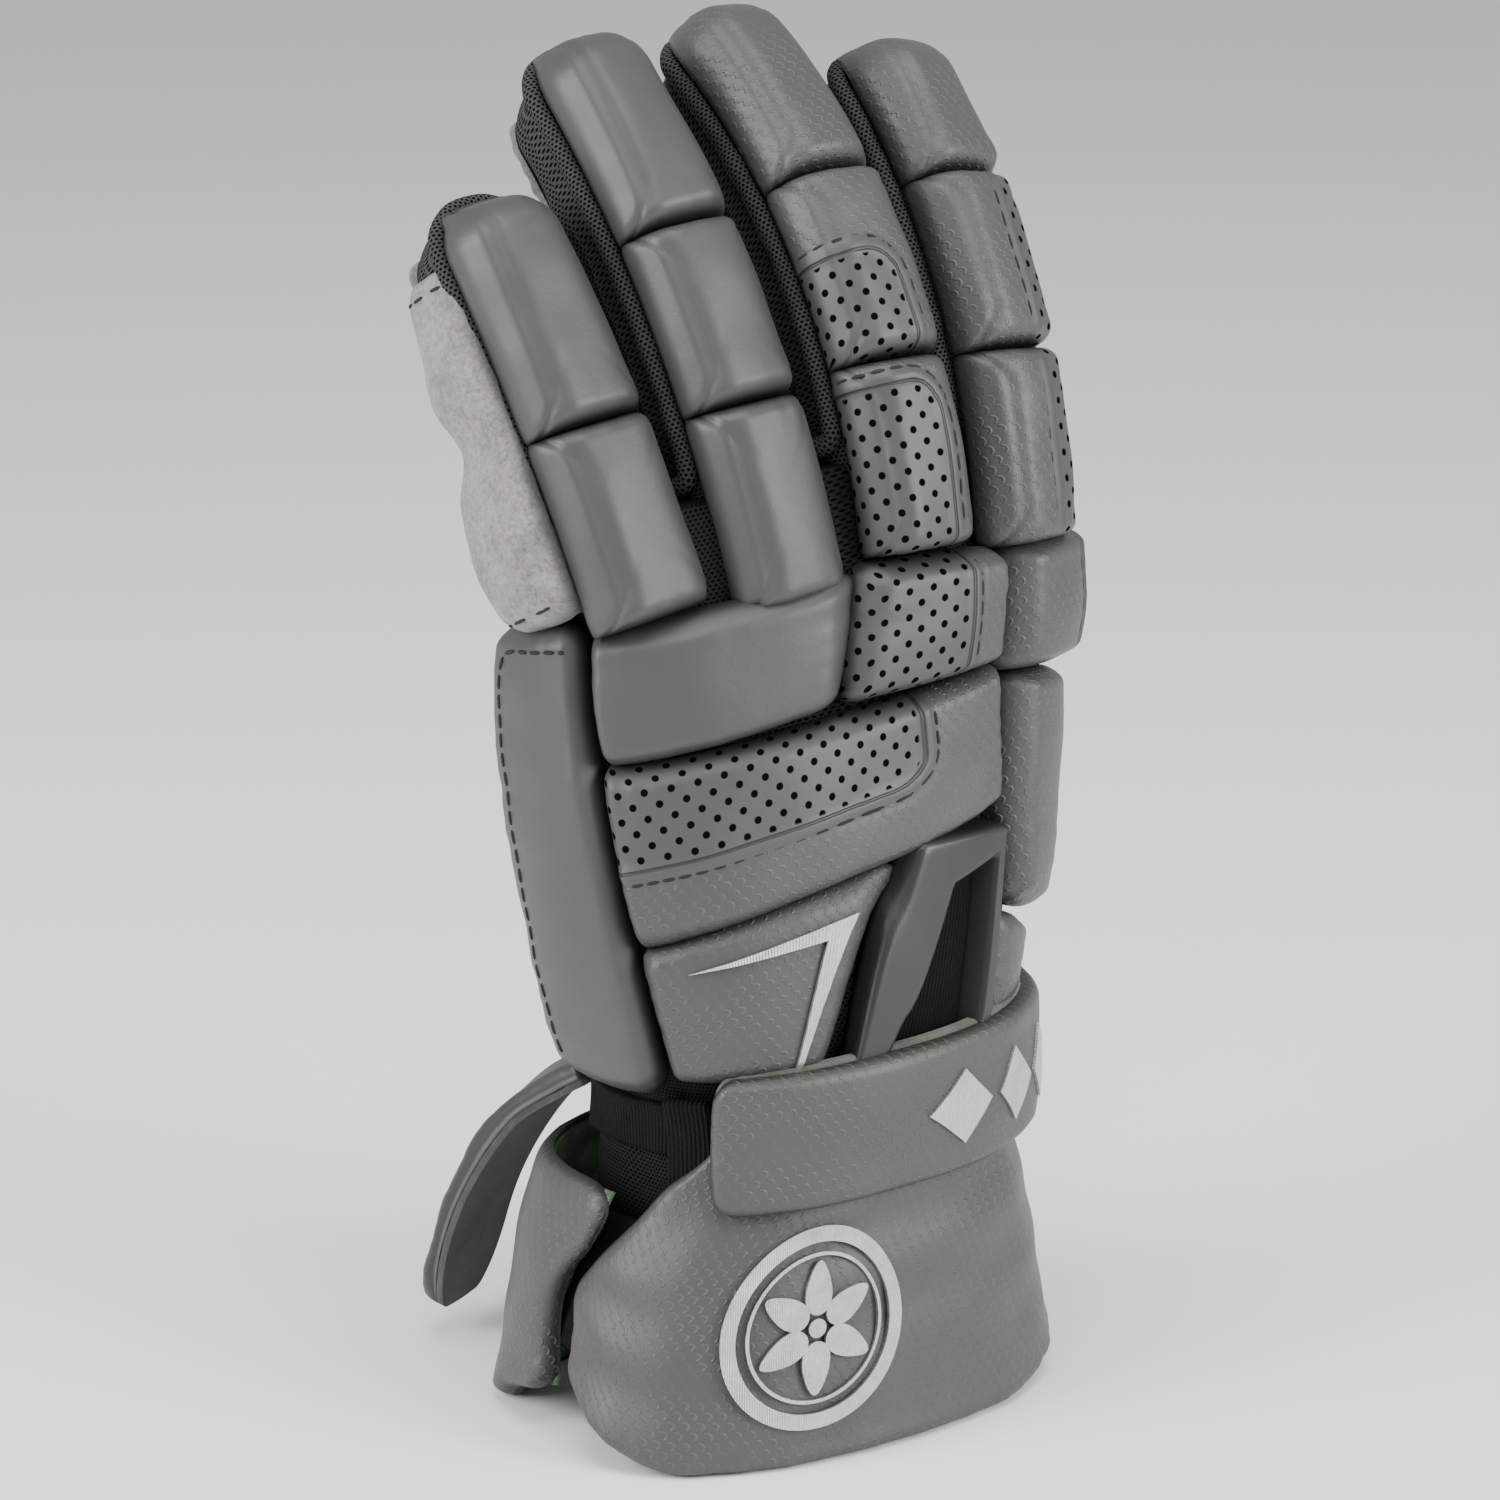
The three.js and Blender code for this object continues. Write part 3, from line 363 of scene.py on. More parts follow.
def leather_height(p, q, width, height, thick, radius, seed, puckers=0.3, dents=0.25, crown=0.1, zone=None):
    x, y = p * width / 2, q * height / 2
    dx, dy = np.maximum(width / 2 - abs(x), 0), np.maximum(height / 2 - abs(y), 0)
    rise = rounded(dx, radius) * rounded(dy, radius)
    high = thick * rise * (1 - crown * (1 - (1 - p * p) * (1 - q * q)))
    gathers = np.exp(-dx / 3.2) * waves(seed + 1, 8)(y) + np.exp(-dy / 3.2) * waves(seed + 2, 8)(x)
    high = high + rise * (puckers * gathers + dents * waves(seed + 3, 34)(x, y))
    if zone is not None:
        inside = zone(x, y)
        ridge = 0.55 * np.exp(-((inside + 1.2) / 1.1) ** 2)
        groove = 0.5 * np.exp(-((inside + 2.9) / 0.5) ** 2)
        high = high + rise * (ridge - groove - 0.35 * (inside > 0))
    return high


# %% Round the corners of a square of places
def round_corners(p, q, width, height, corner):
    """Places near a corner move onto an arc of this radius in mm."""
    across, up = 2 * corner / width, 2 * corner / height
    u, v = np.clip((abs(p) - 1) / across + 1, 0, None), np.clip((abs(q) - 1) / up + 1, 0, None)
    a, b = np.minimum(u, 1), np.minimum(v, 1)
    return (p - np.sign(p) * across * u * (1 - np.sqrt(1 - b * b / 2)),
            q - np.sign(q) * up * v * (1 - np.sqrt(1 - a * a / 2)))


# %% A pad on the hand, the cuff or the strap
def surface_pad(name, surface, corners, thick, seed, roundness=0.1, radius=4.5, lift=0.1, zone=None,
                bulge=0.9, corner=1.8, **shape):
    size = ()

    def bed(p, q):
        if size:
            p, q = round_corners(p, q, *size, corner)
        return surface(*patch_place(corners, p, q, roundness), lift)

    line = np.linspace(-1, 1, 41)
    width = np.linalg.norm(np.diff(bed(line, line * 0), axis=0), axis=1).sum()
    height = np.linalg.norm(np.diff(bed(line * 0, line), axis=0), axis=1).sum()
    size = (width, height)

    def face(p, q):
        high = leather_height(p, q, width, height, thick, radius, seed, zone=zone, **shape)
        share = np.clip(high / thick, 0, 1)
        proud = bulge * np.sin(math.pi * np.clip(share / 0.85, 0, 1))
        wider = 1 + 2 * proud * np.clip(abs(p) * 8 - 7, 0, 1) / width
        taller = 1 + 2 * proud * np.clip(abs(q) * 8 - 7, 0, 1) / height
        p, q = round_corners(p * wider, q * taller, width, height, corner)
        return surface(*patch_place(corners, p, q, roundness), lift + high)

    return Pad(name, face, bed, zone)


# %% A pad along a finger, with its foot tucked in
pad_roundness, foot_turn, half_leather = 3.2, 50, 24
lift_on_finger, lift_on_tip = 0.2, 1.6
half_turn = np.linspace(0, 90, 91)
outline = np.stack(section_point(half_turn, 1, 1, pad_roundness), -1)
outline_length = np.append(0, np.cumsum(np.linalg.norm(np.diff(outline, axis=0), axis=1)))


def finger_pad(name, finger, start, end, seed, nose=0, wider=1.0, zone=None, puckers=0.3, dents=0.25):
    length = length_of(finger)
    start, end = start * length, end * length
    half_wide, half_deep = finger_width / 2 * thick_of(finger), finger_depth / 2 * thick_of(finger)
    foot_angle, power = math.radians(foot_turn), 2 / finger_roundness
    foot_share, side_share = math.cos(foot_angle) ** power, math.sin(foot_angle) ** power
    tall = half_deep * (1 - foot_share) + finger_pad_thickness
    half = finger_pad_width / 2 * thick_of(finger) * wider

    def lift_at(s):
        return lift_on_finger + lift_on_tip * np.clip((s - (length - tip_dome)) / tip_dome, 0, 1)

    def face(p, q):
        s = start + (end - start) * (q + 1) / 2
        out = lift_at(s)
        share = np.sqrt(1 - np.clip((s - (length + out - tip_dome)) / tip_dome, 0, 1) ** 2)
        past = np.clip((s - (end - nose)) / nose, 0, 1) if nose else s * 0
        closing = np.sqrt(1 - 0.85 * past * past)
        near = np.maximum(np.minimum(s - start, end - s), 0)
        turn = np.interp(abs(p), outline_length / outline_length[-1], half_turn)
        x, y = section_point(turn, 1, 1, pad_roundness)
        side = (1 - abs(p)) * half_leather
        rise = rounded(near, 4.2)
        pinch = np.exp(-near / 4.0) * np.exp(-((abs(p) - 0.66 + near * 0.032) / 0.04) ** 2)
        valley = 0.85 * np.exp(-((p + 0.43) / 0.075) ** 2) + 0.3 * np.exp(-((p - 0.5) / 0.09) ** 2)
        gathers = np.exp(-near / 3.4) * waves(seed + 1, 9)(p * half_leather)
        gathers = gathers + 0.5 * np.exp(-side / 3) * waves(seed + 2, 10)(s)
        swell = puckers * gathers + dents * waves(seed + 3, 36)(p * half_leather, s)
        swell = swell - 2.6 * pinch - valley * np.clip(near / 9, 0, 1)
        swell = swell * rise * np.clip(side / 2, 0, 1)
        if zone is not None:
            inside = zone(p * half_leather, s - (start + end) / 2)
            ridge = 0.5 * np.exp(-((inside + 1.2) / 1.1) ** 2)
            groove = 0.45 * np.exp(-((inside + 2.9) / 0.5) ** 2)
            swell = swell + rise * (ridge - groove - 0.3 * (inside > 0))
        foot = half_deep * share * foot_share
        least_wide = (half_wide + out) * share * side_share + 0.9
        least_high = (half_deep + out) * share - foot + 1.3
        taper = tip_taper if nose else 0
        narrow = 1 - taper * (q + 1) / 2 * np.sqrt(np.maximum(np.cos(np.radians(turn)), 0))
        across = np.maximum(half * (0.93 + 0.07 * rise) * closing, least_wide) * narrow
        across = across + 0.8 * np.sin(math.pi * np.clip(side / 9, 0, 1)) + swell * 0.4
        high = np.maximum(tall * (0.3 + 0.7 * rise) * closing, least_high) + swell
        return finger_spot(finger, s, np.sign(p) * across * x, foot - high * y)

    def bed(p, q):
        s = np.minimum(start + (end - start) * (q + 1) / 2, length - 1)
        return finger_point(finger, p * foot_turn, s, lift_at(s))

    pad = Pad(name, face, bed, zone)
    pad.width, pad.height = 2 * half_leather, end - start
    return pad

# %% [markdown]
# On the middle and index fingers and on the band across the back, part of the leather is an inset of
# punched leather behind a folded and stitched border. Each inset is a distance field on its pad: positive
# inside, zero on the border's inner edge, so the ridge, the stitches and the holes all follow one line.

# %% Punched zones
def low_left_zone(right, top, radius=7):
    def inside(x, y):
        dx, dy = x - right + radius, y - top + radius
        return radius - np.hypot(np.maximum(dx, 0), np.maximum(dy, 0)) - np.minimum(np.maximum(dx, dy), 0)

    inside.line = lambda out: zone_line(right, top, radius, out)
    return inside


def zone_line(right, top, radius, out):
    turn = np.linspace(0, math.pi / 2, 12)
    reach = radius + out
    bend = np.stack([right - radius + reach * np.cos(turn), top - radius + reach * np.sin(turn)], -1)
    return np.concatenate([[(right + out, -100)], bend, [(-100, top + out)]])


def right_zone(left):
    def inside(x, y):
        return x - left + 0 * y

    inside.line = lambda out: np.array([(left - out, -100.0), (left - out, 100.0)])
    return inside


def band_zone(low_left, low_right, right, radius=6):
    """Above a line that climbs from low_left to low_right, and left of a rounded end."""
    slope = (low_right - low_left) / 90
    lean = math.hypot(1, slope)

    def inside(x, y):
        under = -(y - (low_left + slope * (x + 45))) / lean
        dx, dy = x - right + radius, under + radius
        return radius - np.hypot(np.maximum(dx, 0), np.maximum(dy, 0)) - np.minimum(np.maximum(dx, dy), 0)

    turn = np.linspace(0, math.pi / 2, 12)

    def line(out):
        reach = radius + out
        bend = np.stack([right - radius + reach * np.sin(turn), 0 * turn], -1)
        bend[:, 1] = low_left + slope * (bend[:, 0] + 45) + (radius - reach * np.cos(turn)) * lean
        return np.concatenate([[(-100, low_left - out * lean - slope * 55)], bend, [(right + out, 100)]])

    inside.line = line
    return inside


# %% [markdown]
# The pads, a row for each: those on the hand with their corners as an angle round the hand and a share of
# its length, those on the fingers between two shares of the finger's length. They match the part's
# solids.

# %% Pads on the hand
# name, finish, thickness in mm, roundness and corners; then its punched zone
hand_pads = [
    ("knuckle_pad_outer", "leather", 10, 0.1,
     [(-62, 0.662), (-4.4, 0.695), (-0.2, 0.872), (-62, 0.86)], None),
    ("knuckle_pad_middle", "embossed", 12, 0.12,
     [(-4.4, 0.694), (25.4, 0.687), (28.4, 0.84), (-0.2, 0.875)], low_left_zone(3.5, 60)),
    ("knuckle_pad_index", "embossed", 14, 0.2,
     [(27, 0.67), (66, 0.632), (68, 0.815), (30, 0.838)], right_zone(8)),
    ("back_band", "embossed", 8.5, 0.05,
     [(-64, 0.39), (29, 0.493), (29, 0.683), (-64, 0.658)], band_zone(-2, 0, 24)),
    ("wrist_pad", "embossed", 7, 0.06,
     [(-64.5, 0.185), (-18, 0.19), (2.5, 0.46), (-64.5, 0.386)], None),
    ("outer_flap", "leather", 8.5, 0.12,
     [(-114, 0.14), (-68, 0.158), (-65.5, 0.875), (-106, 0.83)], None),
    ("thumb_side_pad", "embossed", 11, 0.2,
     [(31, 0.355), (58, 0.3), (72, 0.615), (31, 0.665)], None),
    ("thumb_side_strip", "embossed", 6, 0.1,
     [(25, 0.165), (56, 0.158), (58, 0.285), (30, 0.34)], None),
]
pads, finish_of = {}, {}
for seed, (name, finish, thick, roundness, corners, zone) in enumerate(hand_pads):
    corner = 6 if name == "outer_flap" else 1.8
    pads[name] = surface_pad(name, hand_point, corners, thick, seed * 7, roundness, zone=zone, corner=corner)
    finish_of[name] = finish

# %% Pads on the fingers
# name, finger, start and end as shares of its length, nose in mm, how much wider, finish, punched zone
finger_pads = [
    ("little_pad_lower", "little", -0.045, 0.409, 0, 1.05, "leather", None),
    ("little_pad_tip", "little", 0.41, 0.975, 12, 1.05, "leather", None),
    ("ring_pad_lower", "ring", -0.075, 0.27, 0, 1, "leather", None),
    ("ring_pad_middle", "ring", 0.271, 0.59, 0, 1, "leather", None),
    ("ring_pad_tip", "ring", 0.591, 0.995, 14, 1, "leather", None),
    ("middle_pad_lower", "middle", -0.03, 0.28, 0, 1, "embossed", low_left_zone(4.5, 14)),
    ("middle_pad_middle", "middle", 0.281, 0.602, 0, 1, "embossed", low_left_zone(3.5, 1)),
    ("middle_pad_tip", "middle", 0.603, 1.0, 14, 1, "embossed", None),
    ("index_pad_lower", "index", -0.04, 0.32, 0, 1, "embossed", right_zone(3)),
    ("index_pad_middle", "index", 0.321, 0.66, 0, 1, "embossed", right_zone(4)),
    ("index_pad_tip", "index", 0.661, 1.0, 14, 1, "embossed", None),
    ("thumb_pad_lower", "thumb", 0.24, 0.562, 0, 1, "leather", None),
    ("thumb_pad_tip", "thumb", 0.563, 0.99, 14, 1, "leather", None),
]
for seed, (name, finger, start, end, nose, wider, finish, zone) in enumerate(finger_pads):
    pads[name] = finger_pad(name, finger, start, end, 100 + seed * 7, nose, wider, zone)
    finish_of[name] = finish
for name, pad in pads.items():
    pad.build()
print(len(pads), "pads")

# %% [markdown]
# The finger stalls and the hand's shell are one thin wall of mesh cloth over foam, open inside. Each is a
# stack of rings that runs from the outer tip down to the mouth, turns over the rim and runs back up
# inside. A shallow groove along each flank is the seam between the cloth's two strips.

# %% Finger stalls
def stall(finger, turns=96, base=2.0, wall=1.8, map_width=88):
    length = length_of(finger)
    angle = np.arange(turns) * 360 / turns
    round_to = abs((angle + 180) % 360 - 180)
    tip = length - tip_dome + tip_dome * np.sin(np.linspace(0, 1, 14) * math.pi / 2)[:-1]
    outside = np.concatenate([tip[::-1], np.linspace(length - tip_dome, base, 70)[1:]])
    ribs = waves(len(finger), 22)
    groove = -1.1 * np.exp(-((round_to - 104) / 6.0) ** 2) + 0.7 * np.exp(-((round_to - 86) / 14.0) ** 2)
    rings, across, heights = [], [], []
    for s in outside:
        fade = np.clip((length - tip_dome * 0.4 - s) / 8, 0, 1)
        out = groove * fade + 0.25 * ribs(angle / 9, s)
        rings.append(finger_point(finger, angle, np.full(turns, s), out))
        climb = math.asin(np.clip((s - length + tip_dome) / tip_dome, 0, 1))
        across.append((angle - 180) / 360 * map_width * math.cos(climb))
        heights.append(min(s, length - tip_dome) + climb * 13)
    for s in np.linspace(base, length - tip_dome, 16):
        rings.append(finger_point(finger, angle, np.full(turns, s), -wall + 0 * angle))
        across.append((angle - 180) / 360 * map_width)
        heights.append(-s)
    heights = np.broadcast_to(np.array(heights)[:, None], (len(rings), turns)) + map_start
    return ring_piece(f"{finger}_stall", rings, np.array(across), heights)


for finger in fingers:
    stall(finger)


# %% [markdown]
# Beside each finger's pads the mesh ends in a rolled edge. It runs up one flank, over the fingertip and
# down the other, and turns into the next finger's edge in a small U between the two.

# %% Rolled edge of the mesh
edge_side, edge_rise, edge_radius, edge_dome = 13.9, 7.2, 2.3, 13


def edge_path(finger, low):
    thick = thick_of(finger)
    dome = length_of(finger) - edge_dome
    flank = np.arange(low, dome, 3.0)
    turn = np.linspace(math.pi, 0, 15)
    s = np.concatenate([flank, dome + 12.6 * np.sin(turn), flank[::-1]])
    wide = np.concatenate([flank * 0 - 1, np.cos(turn), flank * 0 + 1]) * edge_side * thick
    high = np.concatenate([flank * 0, np.sin(turn), flank * 0]) * -1.8 + edge_rise * thick
    return finger_spot(finger, s, wide, high)


def smooth_path(points, step=1.3, rounds=6):
    run = np.append(0, np.cumsum(np.linalg.norm(np.diff(points, axis=0), axis=1)))
    spots = np.linspace(0, run[-1], int(run[-1] / step))
    path = np.stack([np.interp(spots, run, points[:, k]) for k in range(3)], -1)
    for _ in range(rounds):
        path[1:-1] = (path[:-2] + 2 * path[1:-1] + path[2:]) / 4
    return path


def roll(name, path, radius, turns=12):
    ways = np.gradient(path, axis=0)
    ways /= np.linalg.norm(ways, axis=1, keepdims=True)
    side = np.cross(ways, [0.3, -1.0, 0.2])
    side /= np.linalg.norm(side, axis=1, keepdims=True)
    up = np.cross(side, ways)
    angle = np.arange(turns) * 2 * math.pi / turns
    run = np.append(0, np.cumsum(np.linalg.norm(np.diff(path, axis=0), axis=1)))
    fat = radius * (1 + 0.06 * waves(5, 14)(run)) * np.minimum(1, 0.3 + np.minimum(run, run[-1] - run) / 2)
    ways_out = side[:, None] * np.cos(angle)[:, None] + up[:, None] * np.sin(angle)[:, None]
    rings = path[:, None] + ways_out * fat[:, None, None]
    across = np.broadcast_to(angle * radius, rings.shape[:2])
    return ring_piece(name, rings, across, np.broadcast_to(run[:, None], rings.shape[:2]) + map_start)


chain = np.concatenate([edge_path(finger, 21) for finger in ("little", "ring", "middle", "index")])
edge_roll = roll("mesh_edge_roll", smooth_path(chain), edge_radius)
thumb_roll = roll("thumb_edge_roll", smooth_path(edge_path("thumb", 34)), edge_radius)


# %% The hand's shell
def shell(turns=160, map_width=316):
    angle = np.arange(turns) * 360 / turns - 180
    across = (angle + 180) / 360 * map_width
    rings, heights = [], []

    def ring(up, out, share=1.0):
        rim = hand_point(angle, np.full(turns, up), out)
        middle = rim.mean(0)
        rings.append(middle + (rim - middle) * share)
        heights.append(up * hand_length - (1 - share) * 40)

    for share in (0.05, 0.2, 0.4, 0.6, 0.8, 0.93):
        ring(1, 0, share)
    for up in np.linspace(1, -0.12, 60):
        ring(up, -1.2 * max(0, up * 30 - 29) ** 2)
    top = 1 - 3 * shell_wall / hand_length
    for up in np.linspace(-0.12, top, 24):
        ring(up, -shell_wall)
    for share in (0.9, 0.6, 0.3, 0.05):
        ring(top, -shell_wall, share)
    heights = np.array(heights)[:, None] + map_start
    size = (len(rings), turns)
    return ring_piece("hand_shell", rings, np.broadcast_to(across, size), np.broadcast_to(heights, size))


shell()

# %% [markdown]
# The wrist strap is a flat padded belt: embossed leather outside and a fuzzy olive lining inside, which
# shows as a thin line along its upper edge.

# %% Wrist strap and its lining
pads["wrist_strap"] = surface_pad("wrist_strap", strap_point, strap_corners, 4.4, 300, 0.06, radius=3.6,
                                  lift=2.4, puckers=0.12, dents=0.3, bulge=0.3, corner=6)
pads["wrist_strap"].build(1.0)
lining_line = [(a, z + grow) for (a, z), grow in zip(strap_corners, (0.6, 0.6, 0.9, 0.9))]
surface_pad("strap_lining", strap_point, lining_line, 3.0, 310, 0.06, radius=1.6,
            lift=0.0, puckers=0.15, dents=0.15, bulge=0.2, corner=6).build(1.4)
finish_of["wrist_strap"] = "embossed"

# %% Elastic round the wrist and the keeper
elastic_line = [(-252, -0.02), (-56, 0.06), (-56, 0.142), (-252, 0.06)]
surface_pad("wrist_elastic", hand_point, elastic_line, 1.7, 320, 0, radius=0.8,
            puckers=0.25, dents=0.35, bulge=0).build(0.9)
keeper_line = [(-72, -0.018), (-53.5, -0.018), (-53.5, 0.152), (-72, 0.152)]
surface_pad("strap_keeper", hand_point, keeper_line, 3, 330, 0.04, radius=1.5,
            lift=2.3, puckers=0.1, dents=0.15, bulge=0.1).build(0.5)

# %% [markdown]
# The cuff is three padded flaps that hang from the wrist and flare out, with elastic wedges between them.
# Each flap's foot and side edges are short tables of heights and angles.

# %% Cuff flaps
cuff_flaps = {
    "cuff_front": dict(
        top=cuff_top, corner=4, wide=100, high=75,
        low=[(-90, 21), (-83, 15), (-74, 8), (-60, 2.5), (-46, 0), (24, 0), (44, 3), (70, 9), (78, 16)],
        left=[(0, -87), (0.3, -89.5), (0.7, -71), (0.85, -55), (1, -46)],
        right=[(0, 72), (0.3, 75), (0.7, 70), (1, 62)]),
    "cuff_outer": dict(
        top=side_cuff_top, corner=9, wide=75, high=60, inset=3, stand=5,
        low=[(-176, 6), (-166, 0), (-126, 0), (-112, 6), (-92, 10)],
        left=[(0, -170), (0.5, -174), (1, -168)],
        right=[(0, -92.5), (0.4, -94.5), (0.8, -86), (1, -82)]),
    "cuff_thumb": dict(
        top=side_cuff_top + 7, corner=4, wide=100, high=75,
        low=[(80, 12), (96, 4), (110, 0), (160, 0), (172, 6)],
        left=[(0, 82), (0.4, 82), (0.8, 76), (1, 74)],
        right=[(0, 168), (0.5, 172), (1, 166)]),
}


def cuff_surface(flap):
    tables = {key: np.array(flap[key], float) for key in ("low", "left", "right")}

    def place(p, q, out):
        share = (q + 1) / 2
        angle = along(tables["left"], share) * (1 - p) / 2 + along(tables["right"], share) * (1 + p) / 2
        low = np.maximum(along(tables["low"], angle), 0)
        out = out - flap.get("inset", 0) * (1 - share) + flap.get("stand", 0) * share
        return cuff_point(angle, low + (flap["top"] - low) * share, out)

    return place


def cuff_thick_at(q):
    """A flap is at its full thickness at its foot and half as thick at the wrist."""
    return cuff_thickness * (0.75 - 0.25 * q)


def cuff_flap(name, seed, zone=None):
    flap = cuff_flaps[name]
    on_cuff = cuff_surface(flap)

    def place(p, q, out):
        return on_cuff(*round_corners(p, q, flap["wide"], flap["high"], flap["corner"]), out)

    def bed(p, q):
        return place(p, q, -cuff_thick_at(q))

    pad = Pad(name, bed, bed, zone)

    def face(p, q):
        high = leather_height(p, q, pad.width, pad.height, 1, 4.2, seed, puckers=0.05, dents=0.06, crown=0.12)
        rise = np.clip(high, 0, 1.15)
        return place(p, q, cuff_thick_at(q) * (rise - 1))

    pad.face = face
    return pad


def vent_zone(x, y):
    """A narrow upright strip of punched leather near the thumb's side."""
    return 5 - np.maximum(abs(x - 62 + y * 0.12), (abs(y) - 14) / 2)


for seed, name in enumerate(cuff_flaps):
    pads[name] = cuff_flap(name, 340 + seed * 5, vent_zone if name == "cuff_front" else None)
    pads[name].build(1.1)
    finish_of[name] = "embossed"

# %% Lining inside the cuff flaps
def cuff_lining(name):
    on_cuff = cuff_surface(cuff_flaps[name])

    def layer(out):
        return lambda p, q: on_cuff(p * 0.96, q * 0.95, -cuff_thick_at(q) + out + 0 * p)

    Pad(name.replace("cuff", "lining"), layer(-0.9), layer(0.3)).build(1.8)


for name in cuff_flaps:
    cuff_lining(name)

# %% Elastic wedges between the flaps
wedge_thickness = 1.6
wedge_lift = -(cuff_thickness + sewn_gap + wedge_thickness)
for name, corners in (("cuff_wedge_outer", [(-102, 22), (-76, 18), (-70, 52), (-92, 52)]),
                      ("cuff_wedge_thumb", [(64, 18), (81, 18), (77, 52), (62, 52)])):
    surface_pad(name, cuff_point, corners, wedge_thickness, 360, 0, radius=0.7, lift=wedge_lift,
                puckers=0.1, dents=0.2, bulge=0).build(0.7)

# %% [markdown]
# The guard over the wrist is one arch of moulded plastic, shaped like an open A without its crossbar,
# with sharp edges and a dark backing behind the opening. It runs from its left foot over a short top to
# its right one.

# %% Wrist guard
# inner angle, inner up, outer angle, outer up, along the arch from the left foot to the right one
guard_arch = np.array([
    (-5.5, 0.15, -14, 0.15), (12, 0.4, 3.8, 0.488), (24, 0.425, 28.3, 0.468), (15.5, 0.15, 20.5, 0.15)])
guard_run = np.array([-1, -0.12, 0.14, 1.0])
guard_lift, guard_thickness, guard_bevel = 0.1, 7.6, 1.1


def arch_place(p, q):
    columns = (np.interp(p, guard_run, guard_arch[:, c]) for c in range(4))
    inner_angle, inner_up, outer_angle, outer_up = columns
    share = (q + 1) / 2
    return inner_angle + (outer_angle - inner_angle) * share, inner_up + (outer_up - inner_up) * share


def guard_bed(p, q):
    return hand_point(*arch_place(p, q), guard_lift)


def guard_face(p, q):
    edge = np.minimum((1 - abs(q)) * 5.0, (1 - abs(p)) * 60)
    wall = guard_thickness * (0.3 + 0.7 * np.clip(edge / guard_bevel, 0, 1))
    crown = 0.5 * np.clip(edge - guard_bevel, 0, 0.8)
    return hand_point(*arch_place(p, q), guard_lift + wall + crown)


Pad("wrist_guard", guard_face, guard_bed).build(0.6)
backing_line = [(-10, 0.15), (19, 0.15), (28, 0.45), (4, 0.45)]
surface_pad("guard_backing", hand_point, backing_line, 1.8, 410, 0, radius=0.6,
            puckers=0, dents=0, bulge=0).build(1.2)

# %% [markdown]
# Silver film is pressed on the leather: an angular trim on the wrist pad, a row of lozenges on the strap
# and a round badge on the cuff. Each is a flat outline cut from one primitive in edit mode and then laid
# on its pad, so it follows every swell of the leather under it.

# %% Laying flat shapes on a pad
def laid(name, piece, place, thickness):
    """Moves a flat piece, drawn in mm on the XY plane, onto place(x, y) and gives it a thickness."""
    mesh = piece.data
    flat = np.empty(len(mesh.vertices) * 3)
    mesh.vertices.foreach_get("co", flat)
    flat = flat.reshape(-1, 3)
    points, way = place(flat[:, 0], flat[:, 1])
    points = points + way * (flat[:, 2] * thickness)[:, None]
    mesh.vertices.foreach_set("co", ((points + shift) / 1000).reshape(-1))
    mesh.uv_layers.active.name = "skin"
    spots = flat[np.array([loop.vertex_index for loop in mesh.loops])][:, :2] + map_start
    mesh.uv_layers["skin"].data.foreach_set("uv", spots.reshape(-1))
    piece.name = mesh.name = name
    bm = bmesh.new()
    bm.from_mesh(mesh)
    bmesh.ops.recalc_face_normals(bm, faces=bm.faces)
    bm.to_mesh(mesh)
    bm.free()
    made[name] = piece
    return piece


def plate(outline_points, cell=1.2, bevel=0.25):
    """A flat plate with a raised face and an inset ring round its rim, from a closed outline in mm."""
    bpy.ops.object.select_all(action="DESELECT")
    bpy.ops.mesh.primitive_circle_add(vertices=len(outline_points), radius=1, fill_type="NGON")
    piece = bpy.context.object
    for vertex, (x, y) in zip(piece.data.vertices, outline_points):
        vertex.co = (x, y, 0)
    bpy.ops.object.mode_set(mode="EDIT")
    bpy.ops.mesh.select_all(action="SELECT")
    bpy.ops.mesh.extrude_region_move(TRANSFORM_OT_translate={"value": (0, 0, 1)})
    bpy.ops.mesh.inset(thickness=bevel, depth=0)
    bpy.ops.mesh.select_all(action="SELECT")
    bpy.ops.mesh.normals_make_consistent(inside=False)
    bpy.ops.object.mode_set(mode="OBJECT")
    bm = bmesh.new()
    bm.from_mesh(piece.data)
    bmesh.ops.triangulate(bm, faces=bm.faces)
    for _ in range(5):
        long_edges = [e for e in bm.edges if e.calc_length() > cell * 2]
        if long_edges:
            bmesh.ops.subdivide_edges(bm, edges=long_edges, cuts=1)
            bmesh.ops.triangulate(bm, faces=[f for f in bm.faces if len(f.verts) > 3])
    bm.to_mesh(piece.data)
    bm.free()
    if not piece.data.uv_layers:
        piece.data.uv_layers.new(name="skin")
    return piece


# %% Angular trim on the wrist pad
wrist_pad = pads["wrist_pad"]


def wrist_spot(p, q):
    return p * wrist_pad.width / 2, q * wrist_pad.height / 2


trim_places = [(-0.52, 0.6), (0.66, 0.5), (0.62, -0.9), (0.68, -0.9), (0.84, 0.68)]
trim_outline = [wrist_spot(*place) for place in trim_places]
trim = laid("wrist_trim", plate(trim_outline, bevel=0.4), lambda x, y: wrist_pad.spot(x, y, 0.25), 0.9)

# %% Lozenges on the strap
strap = pads["wrist_strap"]
lozenge_wide, lozenge_high = 14.4, 18
lozenges = []
for index, across in enumerate((-0.28, -0.06, 0.16, 0.38, 0.6)):
    middle = across * strap.width / 2
    left, right = middle - lozenge_wide / 2, middle + lozenge_wide / 2
    shape = [(left, 0), (middle, -lozenge_high / 2), (right, 0), (middle, lozenge_high / 2)]
    piece = laid(f"strap_lozenge_{index}", plate(shape, bevel=0.5), lambda x, y: strap.spot(x, y, 0.05), 0.7)
    lozenges.append(piece)

